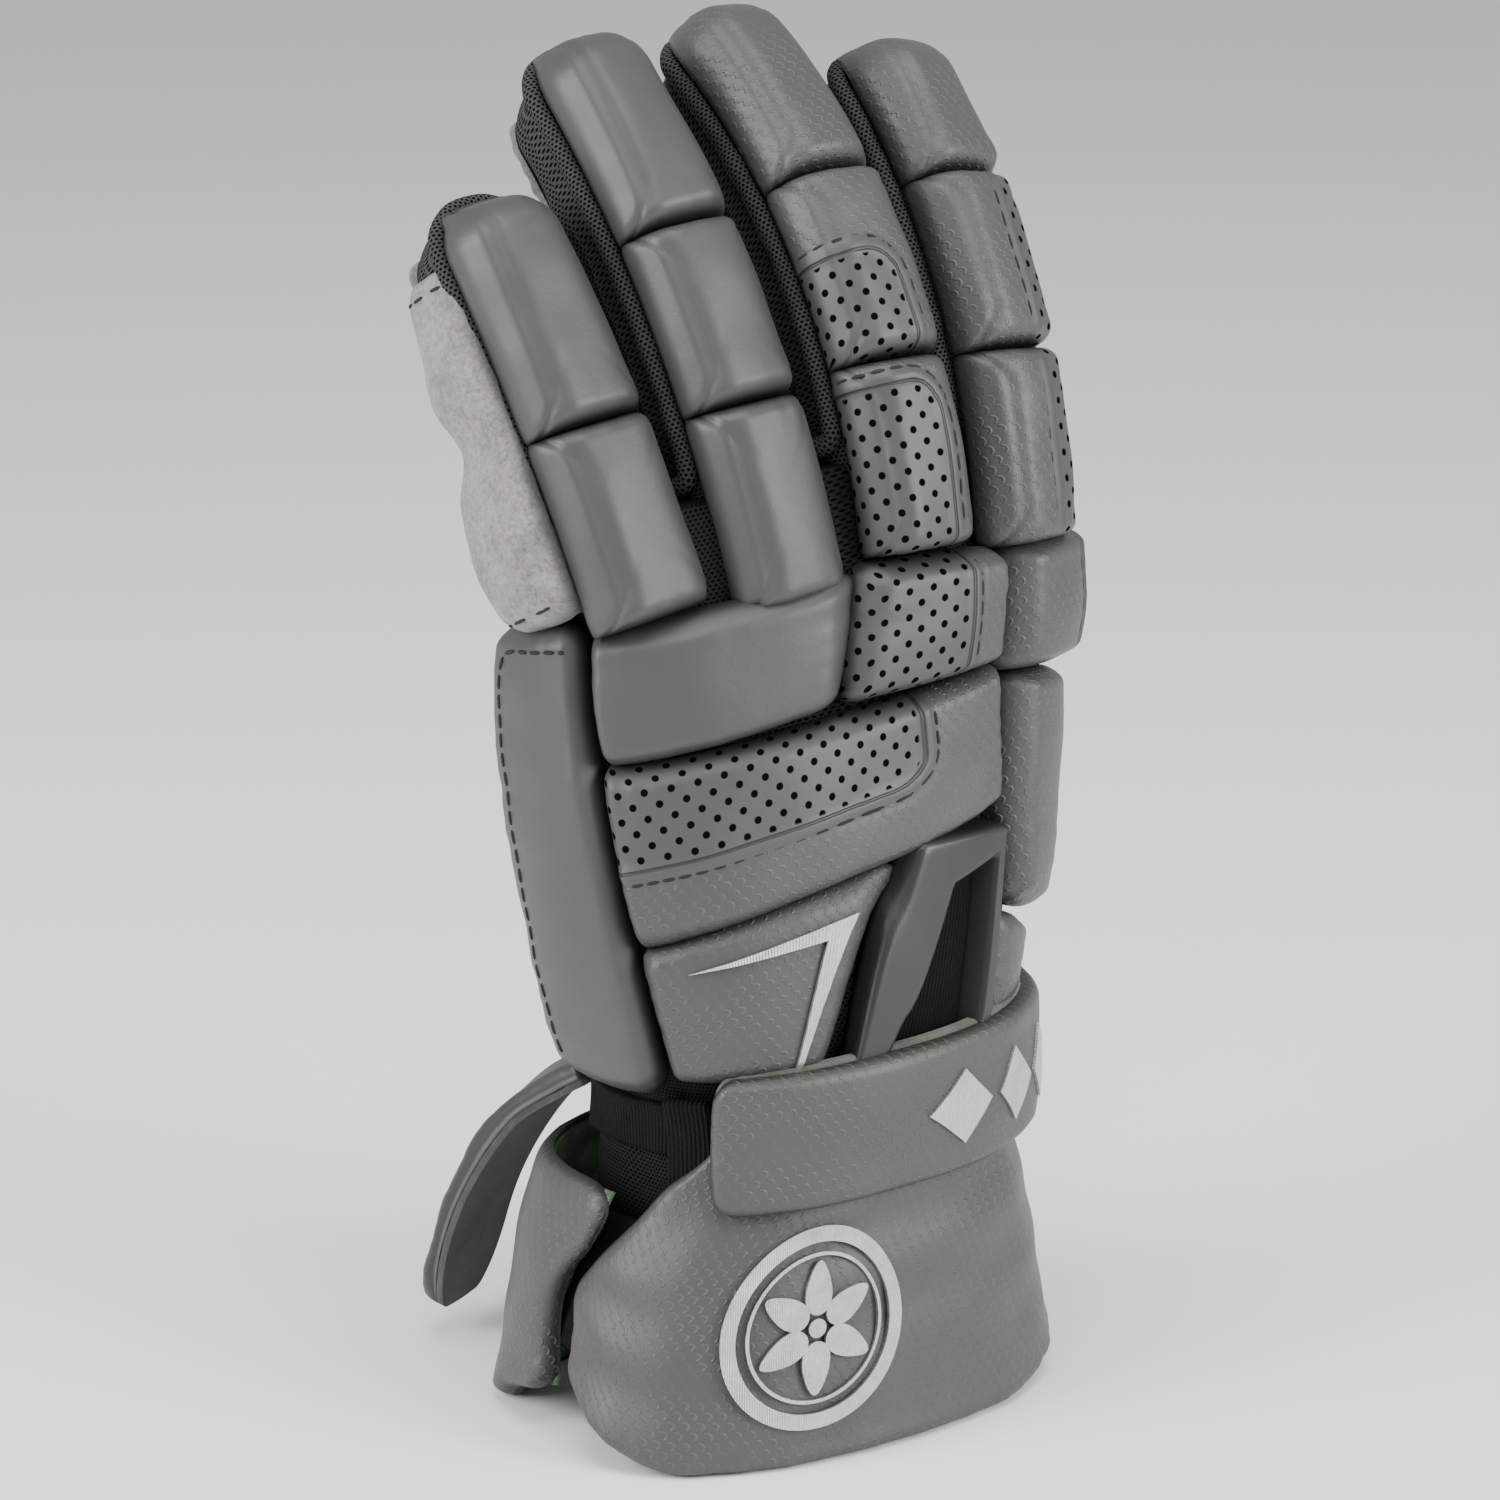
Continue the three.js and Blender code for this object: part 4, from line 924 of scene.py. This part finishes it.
# %% Round badge on the cuff: a ring, and a plain rosette of petals inside it
badge_angle, badge_height, badge_radius = -18, 32, 23


def badge_spot(x, y):
    turns = badge_angle + np.linspace(-45, 60, 421)
    line = cuff_point(turns, np.full(421, badge_height), 0)
    run = np.append(0, np.cumsum(np.linalg.norm(np.diff(line, axis=0), axis=1)))
    run -= np.interp(badge_angle, turns, run)
    low, high = (cuff_point(badge_angle, badge_height + step, 0) for step in (0, 1))
    rise = 1 / np.linalg.norm(high - low)

    def on(x, y, out):
        return cuff_point(np.interp(x, run, turns), badge_height + y * rise, out)

    way = np.cross(on(x + 0.5, y, 0) - on(x - 0.5, y, 0), on(x, y + 0.5, 0) - on(x, y - 0.5, 0))
    way /= np.linalg.norm(way, axis=-1, keepdims=True)
    outward = on(x, y, 1.0) - on(x, y, 0.0)
    way = way * np.sign((way * outward).sum(-1, keepdims=True))
    return on(x, y, 0.3), way


def band(inner, outer, count=96):
    bpy.ops.object.select_all(action="DESELECT")
    bpy.ops.mesh.primitive_circle_add(vertices=count, radius=outer, fill_type="NGON")
    piece = bpy.context.object
    bpy.ops.object.mode_set(mode="EDIT")
    bpy.ops.mesh.select_all(action="SELECT")
    bpy.ops.mesh.inset(thickness=outer - inner, depth=0)
    bpy.ops.mesh.delete(type="FACE")
    bpy.ops.mesh.select_all(action="SELECT")
    bpy.ops.mesh.extrude_region_move(TRANSFORM_OT_translate={"value": (0, 0, 1)})
    bpy.ops.mesh.select_all(action="SELECT")
    bpy.ops.mesh.normals_make_consistent(inside=False)
    bpy.ops.object.mode_set(mode="OBJECT")
    if not piece.data.uv_layers:
        piece.data.uv_layers.new(name="skin")
    return piece


badge_parts = [laid("badge_ring", band(19.5, badge_radius), badge_spot, 1.0)]
badge_parts.append(laid("badge_inner_ring", band(16.4, 17.2), badge_spot, 0.8))
turn_of = np.linspace(0, 2 * math.pi, 25)[:-1]
for petal in range(6):
    heading = math.radians(90 + petal * 60)
    shape = []
    for t in turn_of:
        x, y = 9.2 + 6.2 * math.cos(t), 3.3 * math.sin(t) * (1 - 0.35 * math.cos(t))
        turned_x = x * math.cos(heading) - y * math.sin(heading)
        shape.append((turned_x, x * math.sin(heading) + y * math.cos(heading)))
    badge_parts.append(laid(f"badge_petal_{petal}", plate(shape, bevel=0.4), badge_spot, 0.9))
disc = plate([(2.2 * math.cos(t), 2.2 * math.sin(t)) for t in turn_of], bevel=0.3)
badge_parts.append(laid("badge_centre", disc, badge_spot, 0.9))

# %% [markdown]
# The strap's loose end hangs behind the wrist: grey leather outside and a darker fuzzy lining towards the
# cuff. Its way down is a short table of how far out and how far down it has come.

# %% Loose end of the strap
tab_path = np.array([(0, 0, 0), (0.12, 7, 0.06), (0.3, 20, 0.2), (0.6, 34, 0.52), (1, 43, 0.94)])
tab_angle, tab_start, tab_length, tab_width = math.radians(-154), 13, 70, 30


def tab_point(across, share, out):
    away_way = np.array([math.sin(tab_angle), -math.cos(tab_angle), 0])
    side_way = np.array([math.cos(tab_angle), math.sin(tab_angle), 0])

    def at(t):
        t = np.clip(t, 0, 1)
        return along(tab_path, t, 1), -tab_length * along(tab_path, t, 2)

    (x0, z0), (x1, z1) = at(share - 0.01), at(share + 0.01)
    size = np.hypot(x1 - x0, z1 - z0)
    run_x, run_z = (x1 - x0) / size, (z1 - z0) / size
    x, z = at(share)
    end = np.clip((share - 0.75) / 0.25, 0, 1)
    wide = tab_width / 2 * across * np.sqrt(1 - 0.7 * end * end)
    start = strap_point(math.degrees(tab_angle), wrist_height + tab_start, -strap_thickness / 2)
    lift = np.stack(np.broadcast_arrays(0 * x, 0 * x, z + run_x * out), -1)
    return start + away_way * (x - run_z * out)[..., None] + side_way * wide[..., None] + lift


def tab_surface(across, share, out):
    across, share, out = np.broadcast_arrays(np.asarray(across, float), np.asarray(share, float), out)
    return tab_point(across, share, out)


tab_corners = [(-1, 0), (1, 0), (1, 1), (-1, 1)]
pads["strap_tab"] = surface_pad("strap_tab", tab_surface, tab_corners, 5.2, 420, 0.05, radius=2.6,
                                lift=1.9, puckers=0.15, dents=0.7, bulge=0.1)
pads["strap_tab"].build(0.8)
finish_of["strap_tab"] = "leather"
surface_pad("tab_lining", tab_surface, tab_corners, 2.9, 430, 0.05, radius=0.7,
            lift=0.0, puckers=0.3, dents=0.5, bulge=0).build(1.0)

# %% [markdown]
# Suede covers the palm and the palm side of the fingers, and pads the little finger's outer side, where a
# dent crosses it.

# %% Suede pieces
palm_line = [(118, 0.17), (240, 0.17), (236, 0.9), (122, 0.9)]
palm_suede = surface_pad("palm_suede", hand_point, palm_line, 1.6, 440, 0.1, radius=1.2,
                         puckers=0.2, dents=0.45, bulge=0)
palm_suede.build(1.2)
sheets = {"palm_suede": palm_suede}
for seed, finger in enumerate(fingers):
    dome = length_of(finger) - tip_dome * 0.35
    corners = [(132, 3), (228, 3), (228, dome), (132, dome)]

    def on_finger(angle, s, out, finger=finger):
        return finger_point(finger, angle, s, out)

    strip = surface_pad(f"{finger}_suede", on_finger, corners, 1.6, 450 + seed * 5, 0.06, radius=1.2,
                        lift=0.2, puckers=0.25, dents=0.4, bulge=0)
    strip.build(1.0)
    sheets[f"{finger}_suede"] = strip
side_corners = [(-128, 0), (-64, 2), (-64, 84), (-128, 87)]
side_heights = np.array([(0, 0.8), (18, 1), (34, 0.85), (45, 0.5), (57, 0.68), (70, 0.52), (87, 0.3)])


def little_side(angle, s, out):
    return finger_point("little", angle, s, np.where(out > 0, out * along(side_heights, s), out))


side_patch = surface_pad("little_side_patch", little_side, side_corners, 12, 480, 0.1, radius=7,
                         puckers=0.35, dents=0.3, bulge=0.3)
side_patch.build(0.7)
pads["little_side_patch"] = side_patch

# %% [markdown]
# Stitches are what the eye reads as sewn. One stitch is a short, slightly flattened capsule; copies of it
# follow a line over a pad's face, a little apart, sunk halfway into the leather.

# %% One stitch, and a row of them along a line
def stitch_points(length, thickness, around=6):
    t = np.arange(around) * 2 * math.pi / around
    rings = [(-0.5, 0.45), (-0.28, 1.0), (0.28, 1.0), (0.5, 0.45)]
    points = []
    for at, share in rings:
        radius = thickness * share / 2
        points.append([(at * length, math.cos(a) * radius, math.sin(a) * radius) for a in t])
    return np.array(points)


def stitch_row(name, pad, line, length=3.4, gap=1.3, thickness=0.95, stand=0.1, margin=1.6):
    line = np.array(line, float)
    run = np.append(0, np.cumsum(np.linalg.norm(np.diff(line, axis=0), axis=1)))
    spots = np.arange(gap, run[-1] - gap, length + gap)
    ends = [np.stack([np.interp(spots + off, run, line[:, k]) for k in (0, 1)], -1) for off in (0, length)]
    half_wide, half_high = pad.width / 2 - margin, pad.height / 2 - margin
    inside = np.all([(abs(e[:, 0]) < half_wide) & (abs(e[:, 1]) < half_high) for e in ends], 0)
    starts, stops = ends[0][inside], ends[1][inside]
    if not len(starts):
        return None
    a, way = pad.spot(starts[:, 0], starts[:, 1], stand)
    b, _ = pad.spot(stops[:, 0], stops[:, 1], stand)
    along_way = b - a
    size = np.linalg.norm(along_way, axis=1, keepdims=True)
    along_way /= size
    side = np.cross(way, along_way)
    side /= np.linalg.norm(side, axis=1, keepdims=True)
    up = np.cross(along_way, side)
    shape = stitch_points(1.0, thickness)
    rings, around = shape.shape[:2]
    local = shape.reshape(-1, 3)
    points = ((a + b) / 2)[:, None] + along_way[:, None] * (local[:, :1] * size[:, None])
    points = points + side[:, None] * local[:, 1:2] + up[:, None] * local[:, 2:] * 0.8
    at = np.arange(rings * around).reshape(rings, around)
    after = np.roll(at, -1, 1)
    quads = np.stack([at[:-1], after[:-1], after[1:], at[1:]], -1).reshape(-1, 4)
    faces = []
    for index in range(len(a)):
        base = index * rings * around
        faces += (quads + base).tolist()
        faces += [(at[0][::-1] + base).tolist(), (at[-1] + base).tolist()]
    mesh = bpy.data.meshes.new(name)
    mesh.from_pydata(((points.reshape(-1, 3) + shift) / 1000).tolist(), [], faces)
    bm = bmesh.new()
    bm.from_mesh(mesh)
    bmesh.ops.recalc_face_normals(bm, faces=bm.faces)
    bm.to_mesh(mesh)
    bm.free()
    mesh.shade_smooth()
    piece = bpy.data.objects.new(name, mesh)
    bpy.context.collection.objects.link(piece)
    made[name] = piece
    print(name, len(a), "stitches")
    return piece


# %% Rows of stitches
def inset_line(pad, left, right, low, high):
    """The left, right, low and high side of a rectangle inside a pad, from distances to its edges in mm."""
    wide, tall = pad.width / 2, pad.height / 2
    return (-wide + left, wide - right, -tall + low, tall - high)


stitches = []
for name, pad in pads.items():
    if pad.zone is not None and hasattr(pad.zone, "line"):
        stitches.append(stitch_row(f"{name}_stitches", pad, pad.zone.line(3.0)))
flap = pads["outer_flap"]
left, right, low, high = inset_line(flap, 8.5, 3, 5, 4.5)
flap_line = [(left, low), (left, high - 3), (left + 3, high), (right, high)]
stitches.append(stitch_row("outer_flap_stitches", flap, flap_line))
patch = pads["little_side_patch"]
left, right, low, high = inset_line(patch, 3, 4, 3.5, 4)
for place, height in (("low", low), ("high", high)):
    patch_line = [(left, height), (right, height)]
    stitches.append(stitch_row(f"side_patch_stitches_{place}", patch, patch_line, length=2.6))
stitches = [row for row in stitches if row]

# %% [markdown]
# The finishes. Shader maths is written as plain expressions: a Signal wraps one socket, and its operators
# add the Math nodes. Patterns on leather and cloth follow the pieces' own UV maps, which are in
# millimetres.

# %% A small language for materials
class Signal:
    def __init__(self, finish, socket):
        self.finish, self.socket = finish, socket

    def math(self, operation, *others):
        return self.finish.node("ShaderNodeMath", {"operation": operation}, dict(enumerate((self, *others))))

    def flipped(self, operation, other):
        return self.finish.node("ShaderNodeMath", {"operation": operation}, {0: other, 1: self})

    def __add__(self, other):
        return self.math("ADD", other)

    def __sub__(self, other):
        return self.math("SUBTRACT", other)

    def __rsub__(self, other):
        return self.flipped("SUBTRACT", other)

    def __mul__(self, other):
        return self.math("MULTIPLY", other)

    def __truediv__(self, other):
        return self.math("DIVIDE", other)

    def step(self, low, high):
        """0 below low, 1 above high, smooth between; high may be less than low."""
        sockets = {0: self, 1: low, 2: high, 3: 0.0, 4: 1.0}
        return self.finish.node("ShaderNodeMapRange", {"interpolation_type": "SMOOTHSTEP"}, sockets)


class Finish:
    """A material with its Principled shader, and node() for every other node."""

    def __init__(self, name, roughness=0.5, **values):
        self.material = bpy.data.materials.new(name)
        self.material.use_nodes = True
        self.tree = self.material.node_tree
        self.shader = self.tree.nodes["Principled BSDF"]
        self.shader.inputs["Roughness"].default_value = roughness
        for key, value in values.items():
            self.shader.inputs[key.replace("_", " ")].default_value = value
        place = self.node("ShaderNodeUVMap", {"uv_map": "skin"}, {})
        split = self.node("ShaderNodeSeparateXYZ", {}, {0: place}).socket.node
        self.place, self.x, self.y = place, Signal(self, split.outputs[0]), Signal(self, split.outputs[1])

    def node(self, kind, settings, inputs, output=0):
        node = self.tree.nodes.new(kind)
        for key, value in settings.items():
            setattr(node, key, value)
        for key, value in inputs.items():
            if isinstance(value, Signal):
                self.tree.links.new(value.socket, node.inputs[key])
            else:
                node.inputs[key].default_value = value
        return Signal(self, node.outputs[output])

    def value_on(self, name):
        return self.node("ShaderNodeAttribute", {"attribute_name": name}, {}, "Fac")

    def noise(self, size, detail=3.0, roughness=0.5):
        """Noise from 0 to 1 with blotches of a size in mm."""
        sockets = {"Vector": self.place, "Scale": 1 / size, "Detail": detail, "Roughness": roughness}
        return self.node("ShaderNodeTexNoise", {}, sockets)

    def mix(self, share, one, other):
        return self.node("ShaderNodeMix", {"data_type": "RGBA"}, {0: share, 6: one, 7: other}, 2)

    def shades(self, share, dark, light):
        return self.mix(share, (*dark, 1), (*light, 1))

    def wear(self, colour, roughness=None, height=None, depth=0.3, hole_shade=None):
        """Links colour, roughness and height; where the hole mask is 1 the surface is black and dull instead,
        painted shade for the inside of a hole.
        """
        self.tree.links.new(colour.socket, self.shader.inputs["Base Color"])
        if roughness is not None:
            self.tree.links.new(roughness.socket, self.shader.inputs["Roughness"])
        if hole_shade is not None:
            # painted shade: a black, dull diffuse stands in for the dark depth inside each hole, over the
            # foam or lining seen through it
            dark = self.node("ShaderNodeBsdfDiffuse", {}, {"Color": (0.003, 0.003, 0.003, 1)})
            bright = Signal(self, self.shader.outputs[0])
            mixed = self.node("ShaderNodeMixShader", {}, {0: hole_shade, 1: bright, 2: dark})
            self.tree.links.new(mixed.socket, self.tree.nodes["Material Output"].inputs["Surface"])
        if height is not None:
            sockets = {"Height": height, "Distance": depth / 1000, "Strength": 1.0}
            bump = self.node("ShaderNodeBump", {}, sockets)
            self.tree.links.new(bump.socket, self.shader.inputs["Normal"])
        return self.material


def cell_distance(finish, across, up):
    """Distance in mm from the middle of the nearest cell of a lattice whose rows are shifted by half."""
    row = (finish.y / up).math("FLOOR")
    x = ((finish.x / across) + row * 0.5).math("FRACT") - 0.5
    y = (finish.y / up).math("FRACT") - 0.5
    return x * across, y * up


def length_2d(x, y):
    return (x * x + y * y).math("SQRT")


# %% Smooth leather, and leather with pressed scales and punched holes
def leather(name, pressed):
    finish = Finish(name, 0.46, Coat_Weight=0.0)
    edge, zone = finish.value_on("edge"), finish.value_on("zone")
    grain = finish.noise(0.9, 4.0, 0.6)
    cloud = finish.noise(26, 2.0)
    fine = finish.noise(3.5, 3.0)
    tone = (cloud - 0.5) * 0.5 + (fine - 0.5) * 0.22 + 0.5
    if pressed:
        colour = finish.shades(tone, (0.041, 0.0406, 0.0385), (0.056, 0.0553, 0.052))
    else:
        colour = finish.shades(tone, (0.038, 0.038, 0.038), (0.048, 0.048, 0.0477))
    # painted shade: within about 1.6 mm of a pad's edge the leather darkens towards near black, standing in
    # for the shadow in the crease where the pad meets its neighbours
    seam = edge.step(1.6, 0.2)
    colour = finish.mix(seam * 0.8, colour, (0.008, 0.008, 0.008, 1))
    height = grain * 0.16 + finish.noise(7.0, 2.0) * 0.3
    holes = None
    rough = finish.noise(9.0, 2.0) * 0.12 + 0.41
    if pressed:
        x, y = cell_distance(finish, 3.4, 2.3)
        ring = (length_2d(x, y * 1.25) - 1.15).math("ABSOLUTE")
        worn = finish.noise(17, 3.0).step(0.36, 0.62) * 0.75 + 0.25
        scale_line = ring.step(0.42, 0.12) * (x + y * 0.6).step(-0.1, 0.5) * worn
        outside = zone.step(-3.0, -3.4)
        height = height + scale_line * outside * 0.5
        rough = rough + scale_line * outside * -0.06
        colour = finish.mix(scale_line * outside * 0.26, colour, (0.11, 0.109, 0.104, 1))
        hx, hy = cell_distance(finish, 6.2, 3.0)
        # the punched holes are drawn black by wear(): painted shade inside them
        holes = length_2d(hx, hy).step(0.95, 0.78) * zone.step(0.5, 1.0)
        # painted shade: a near-black line along the inset's folded border stands in for the shadow in its
        # crease; the height dips there too
        fold_shade = ((zone + 0.1).math("ABSOLUTE")).step(0.45, 0.1)
        colour = finish.mix(fold_shade * 0.85, colour, (0.008, 0.008, 0.008, 1))
        height = height - fold_shade * 1.2
    return finish.wear(colour, rough, height, 0.32, holes)


# %% Mesh cloth with rows of holes
def mesh_cloth(name, colour_low, colour_high):
    finish = Finish(name, 0.86, Specular_IOR_Level=0.25)
    x, y = cell_distance(finish, 1.35, 0.95)
    # the weave's holes are drawn black by wear(): painted shade inside them
    hole = length_2d(x * 0.72, y).step(0.36, 0.2)
    cloud = finish.noise(14, 3.0)
    colour = finish.shades(cloud, colour_low, colour_high)
    return finish.wear(colour, cloud * 0.1 + 0.8, 1.0 - hole + finish.noise(5.0) * 0.4, 0.45, hole)


# %% Suede, lining, elastic, plastic and silver
def suede(name):
    finish = Finish(name, 0.95, Sheen_Weight=0.25, Sheen_Roughness=0.5)
    nap = finish.noise(1.5, 5.0, 0.85)
    brushed = finish.noise(9.0, 4.0, 0.65)
    edge = finish.value_on("edge")
    tone = (nap - 0.5) * 2.6 + (brushed - 0.5) * 1.4 + 0.5
    colour = finish.shades(tone, (0.10, 0.099, 0.091), (0.33, 0.326, 0.30))
    colour = finish.mix(edge.step(1.4, 0.2) * 0.5, colour, (0.05, 0.049, 0.044, 1))
    return finish.wear(colour, None, nap * 1.0 + brushed * 0.8, 0.6)


def fleece(name, low, high, patch_low, patch_high):
    finish = Finish(name, 1.0, Sheen_Weight=0.3)
    fuzz = finish.noise(0.7, 6.0, 0.8)
    patch = finish.noise(9.0, 3.0).step(0.42, 0.6)
    colour = finish.mix(patch, finish.shades(fuzz, low, high), finish.shades(fuzz, patch_low, patch_high))
    return finish.wear(colour, None, fuzz, 0.9)


def elastic(name, rib=1.1):
    finish = Finish(name, 0.9, Specular_IOR_Level=0.12)
    weave = (finish.x * (2 * math.pi / rib)).math("SINE") * 0.5 + 0.5
    cross = (finish.y * (2 * math.pi / 0.7)).math("SINE") * 0.5 + 0.5
    worn = finish.noise(3.0, 4.0)
    colour = finish.shades(weave * 0.6 + worn * 0.4, (0.002, 0.002, 0.0022), (0.010, 0.010, 0.0105))
    return finish.wear(colour, None, weave + cross * 0.3 + worn * 0.3, 0.35)


def moulded(name):
    finish = Finish(name, 0.36)
    stipple = finish.noise(0.4, 2.0)
    cloud = finish.noise(15, 3.0)
    colour = finish.shades(cloud, (0.013, 0.013, 0.013), (0.018, 0.018, 0.018))
    return finish.wear(colour, cloud * 0.15 + 0.3, stipple, 0.05)


def silver(name):
    finish = Finish(name, 0.38, Metallic=0.9)
    ribs = (finish.x * (2 * math.pi / 0.55) + finish.y * 1.1).math("SINE") * 0.5 + 0.5
    cloud = finish.noise(5.0, 3.0)
    colour = finish.shades(cloud * 0.7 + ribs * 0.3, (0.34, 0.34, 0.34), (0.66, 0.66, 0.655))
    colour = finish.mix(finish.noise(0.8, 4.0, 0.8).step(0.5, 0.72) * 0.5, colour, (0.9, 0.9, 0.9, 1))
    return finish.wear(colour, cloud * 0.25 + 0.28, ribs, 0.09)


def thread(name):
    finish = Finish(name, 0.8, Specular_IOR_Level=0.2)
    spot = finish.node("ShaderNodeTexCoord", {}, {}, "Object")
    twist = finish.node("ShaderNodeTexNoise", {}, {"Vector": spot, "Scale": 2500.0, "Detail": 2.0})
    colour = finish.shades(twist, (0.010, 0.010, 0.010), (0.03, 0.03, 0.03))
    return finish.wear(colour, None, twist, 0.1)


finishes = {
    "leather": leather("smooth leather", False),
    "embossed": leather("pressed leather", True),
    "mesh": mesh_cloth("mesh cloth", (0.030, 0.030, 0.030), (0.046, 0.046, 0.045)),
    # the hand's shell cloth is several times darker than the stalls' mesh: partly its own black cloth, partly
    # painted shade for the gaps between the pads where the shell shows
    "dark_mesh_and_gap_shade": mesh_cloth("dark mesh cloth and gap shade", (0.004, 0.004, 0.004), (0.008, 0.008, 0.008)),
    "suede": suede("suede"),
    "olive": fleece("olive fleece", (0.03, 0.03, 0.02), (0.09, 0.09, 0.066),
                    (0.05, 0.051, 0.035), (0.14, 0.14, 0.11)),
    "dark_olive": fleece("dark fleece", (0.009, 0.009, 0.007), (0.035, 0.034, 0.027),
                         (0.02, 0.02, 0.015), (0.065, 0.064, 0.05)),
    "lining": fleece("mottled lining", (0.01, 0.012, 0.01), (0.04, 0.05, 0.04),
                     (0.03, 0.12, 0.03), (0.16, 0.3, 0.14)),
    "elastic": elastic("elastic"),
    "plastic": moulded("moulded plastic"),
    "silver": silver("silver film"),
    "thread": thread("sewing thread"),
}


def dress(piece, finish, *nodes, fill=None):
    piece.data.materials.clear()
    piece.data.materials.append(finishes[finish])
    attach(piece, "root")
    if nodes:
        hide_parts(*nodes)


for name, finish in finish_of.items():
    dress(made[name], finish, name, fill=0.8)
dress(made["strap_lining"], "olive")
dress(made["tab_lining"], "dark_olive")
for finger in fingers:
    dress(made[f"{finger}_stall"], "mesh", f"{finger}_stall")
    dress(made[f"{finger}_suede"], "suede", f"{finger}_suede")
# the shell takes the darker cloth, which carries painted shade for the gaps between the pads
dress(made["hand_shell"], "dark_mesh_and_gap_shade", "hand_shell", "wrist_shell", "knuckle_shell")
dress(edge_roll, "mesh")
dress(thumb_roll, "mesh")
dress(made["palm_suede"], "suede", "palm_suede")
for name, pad in sheets.items():
    size = (pad.width / 1000, pad.height / 1000)
    under = "hand_shell" if name == "palm_suede" else name.replace("suede", "stall")
dress(made["little_side_patch"], "suede", "little_side_patch", fill=0.8)
for name in ("wrist_elastic", "strap_keeper", "cuff_wedge_outer", "cuff_wedge_thumb", "guard_backing"):
    dress(made[name], "elastic", name)
for name in cuff_flaps:
    dress(made[name.replace("cuff", "lining")], "lining")
dress(made["wrist_guard"], "plastic", "wrist_guard")
dress(trim, "silver", "wrist_trim")
for piece in lozenges + badge_parts:
    dress(piece, "silver")
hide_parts("cuff_badge")
for piece in stitches:
    dress(piece, "thread")

# %% [markdown]
# A pale floor and three large soft lights: a key from the left, a fill from the right with a gap between
# them that draws the soft dark line along the pads' shoulders, and a top light. The world is a dim even
# white.

# %% Floor, world and lights
bpy.ops.object.select_all(action="DESELECT")
bpy.ops.mesh.primitive_plane_add(size=8, location=(0, 0, 0))
floor = bpy.context.object
floor.name = "floor"
floor_finish = bpy.data.materials.new("floor")
floor_finish.use_nodes = True
floor_shader = floor_finish.node_tree.nodes["Principled BSDF"]
floor_shader.inputs["Base Color"].default_value = (0.86, 0.86, 0.86, 1)
floor_shader.inputs["Roughness"].default_value = 0.9
floor.data.materials.append(floor_finish)
world = bpy.data.worlds.new("studio")
world.use_nodes = True
sky = world.node_tree.nodes["Background"]
sky.inputs["Color"].default_value = (1, 1, 1, 1)
sky.inputs["Strength"].default_value = 0.62
bpy.context.scene.world = world


def soft_light(name, turn, rise, distance, size, power):
    turn, rise = math.radians(turn), math.radians(rise)
    way = Vector((math.sin(turn) * math.cos(rise), -math.cos(turn) * math.cos(rise), math.sin(rise)))
    bpy.ops.object.light_add(type="AREA", location=looked_at + way * distance)
    light = bpy.context.object
    light.name = name
    light.rotation_euler = (-way).to_track_quat("-Z", "Y").to_euler()
    light.data.shape, light.data.size, light.data.size_y = "RECTANGLE", size, size * 1.3
    light.data.energy = power


soft_light("key", -100, 25, 1.3, 0.6, 20)
soft_light("fill", 25, 22, 1.5, 0.7, 26)
soft_light("top", -30, 75, 1.5, 1.0, 20)
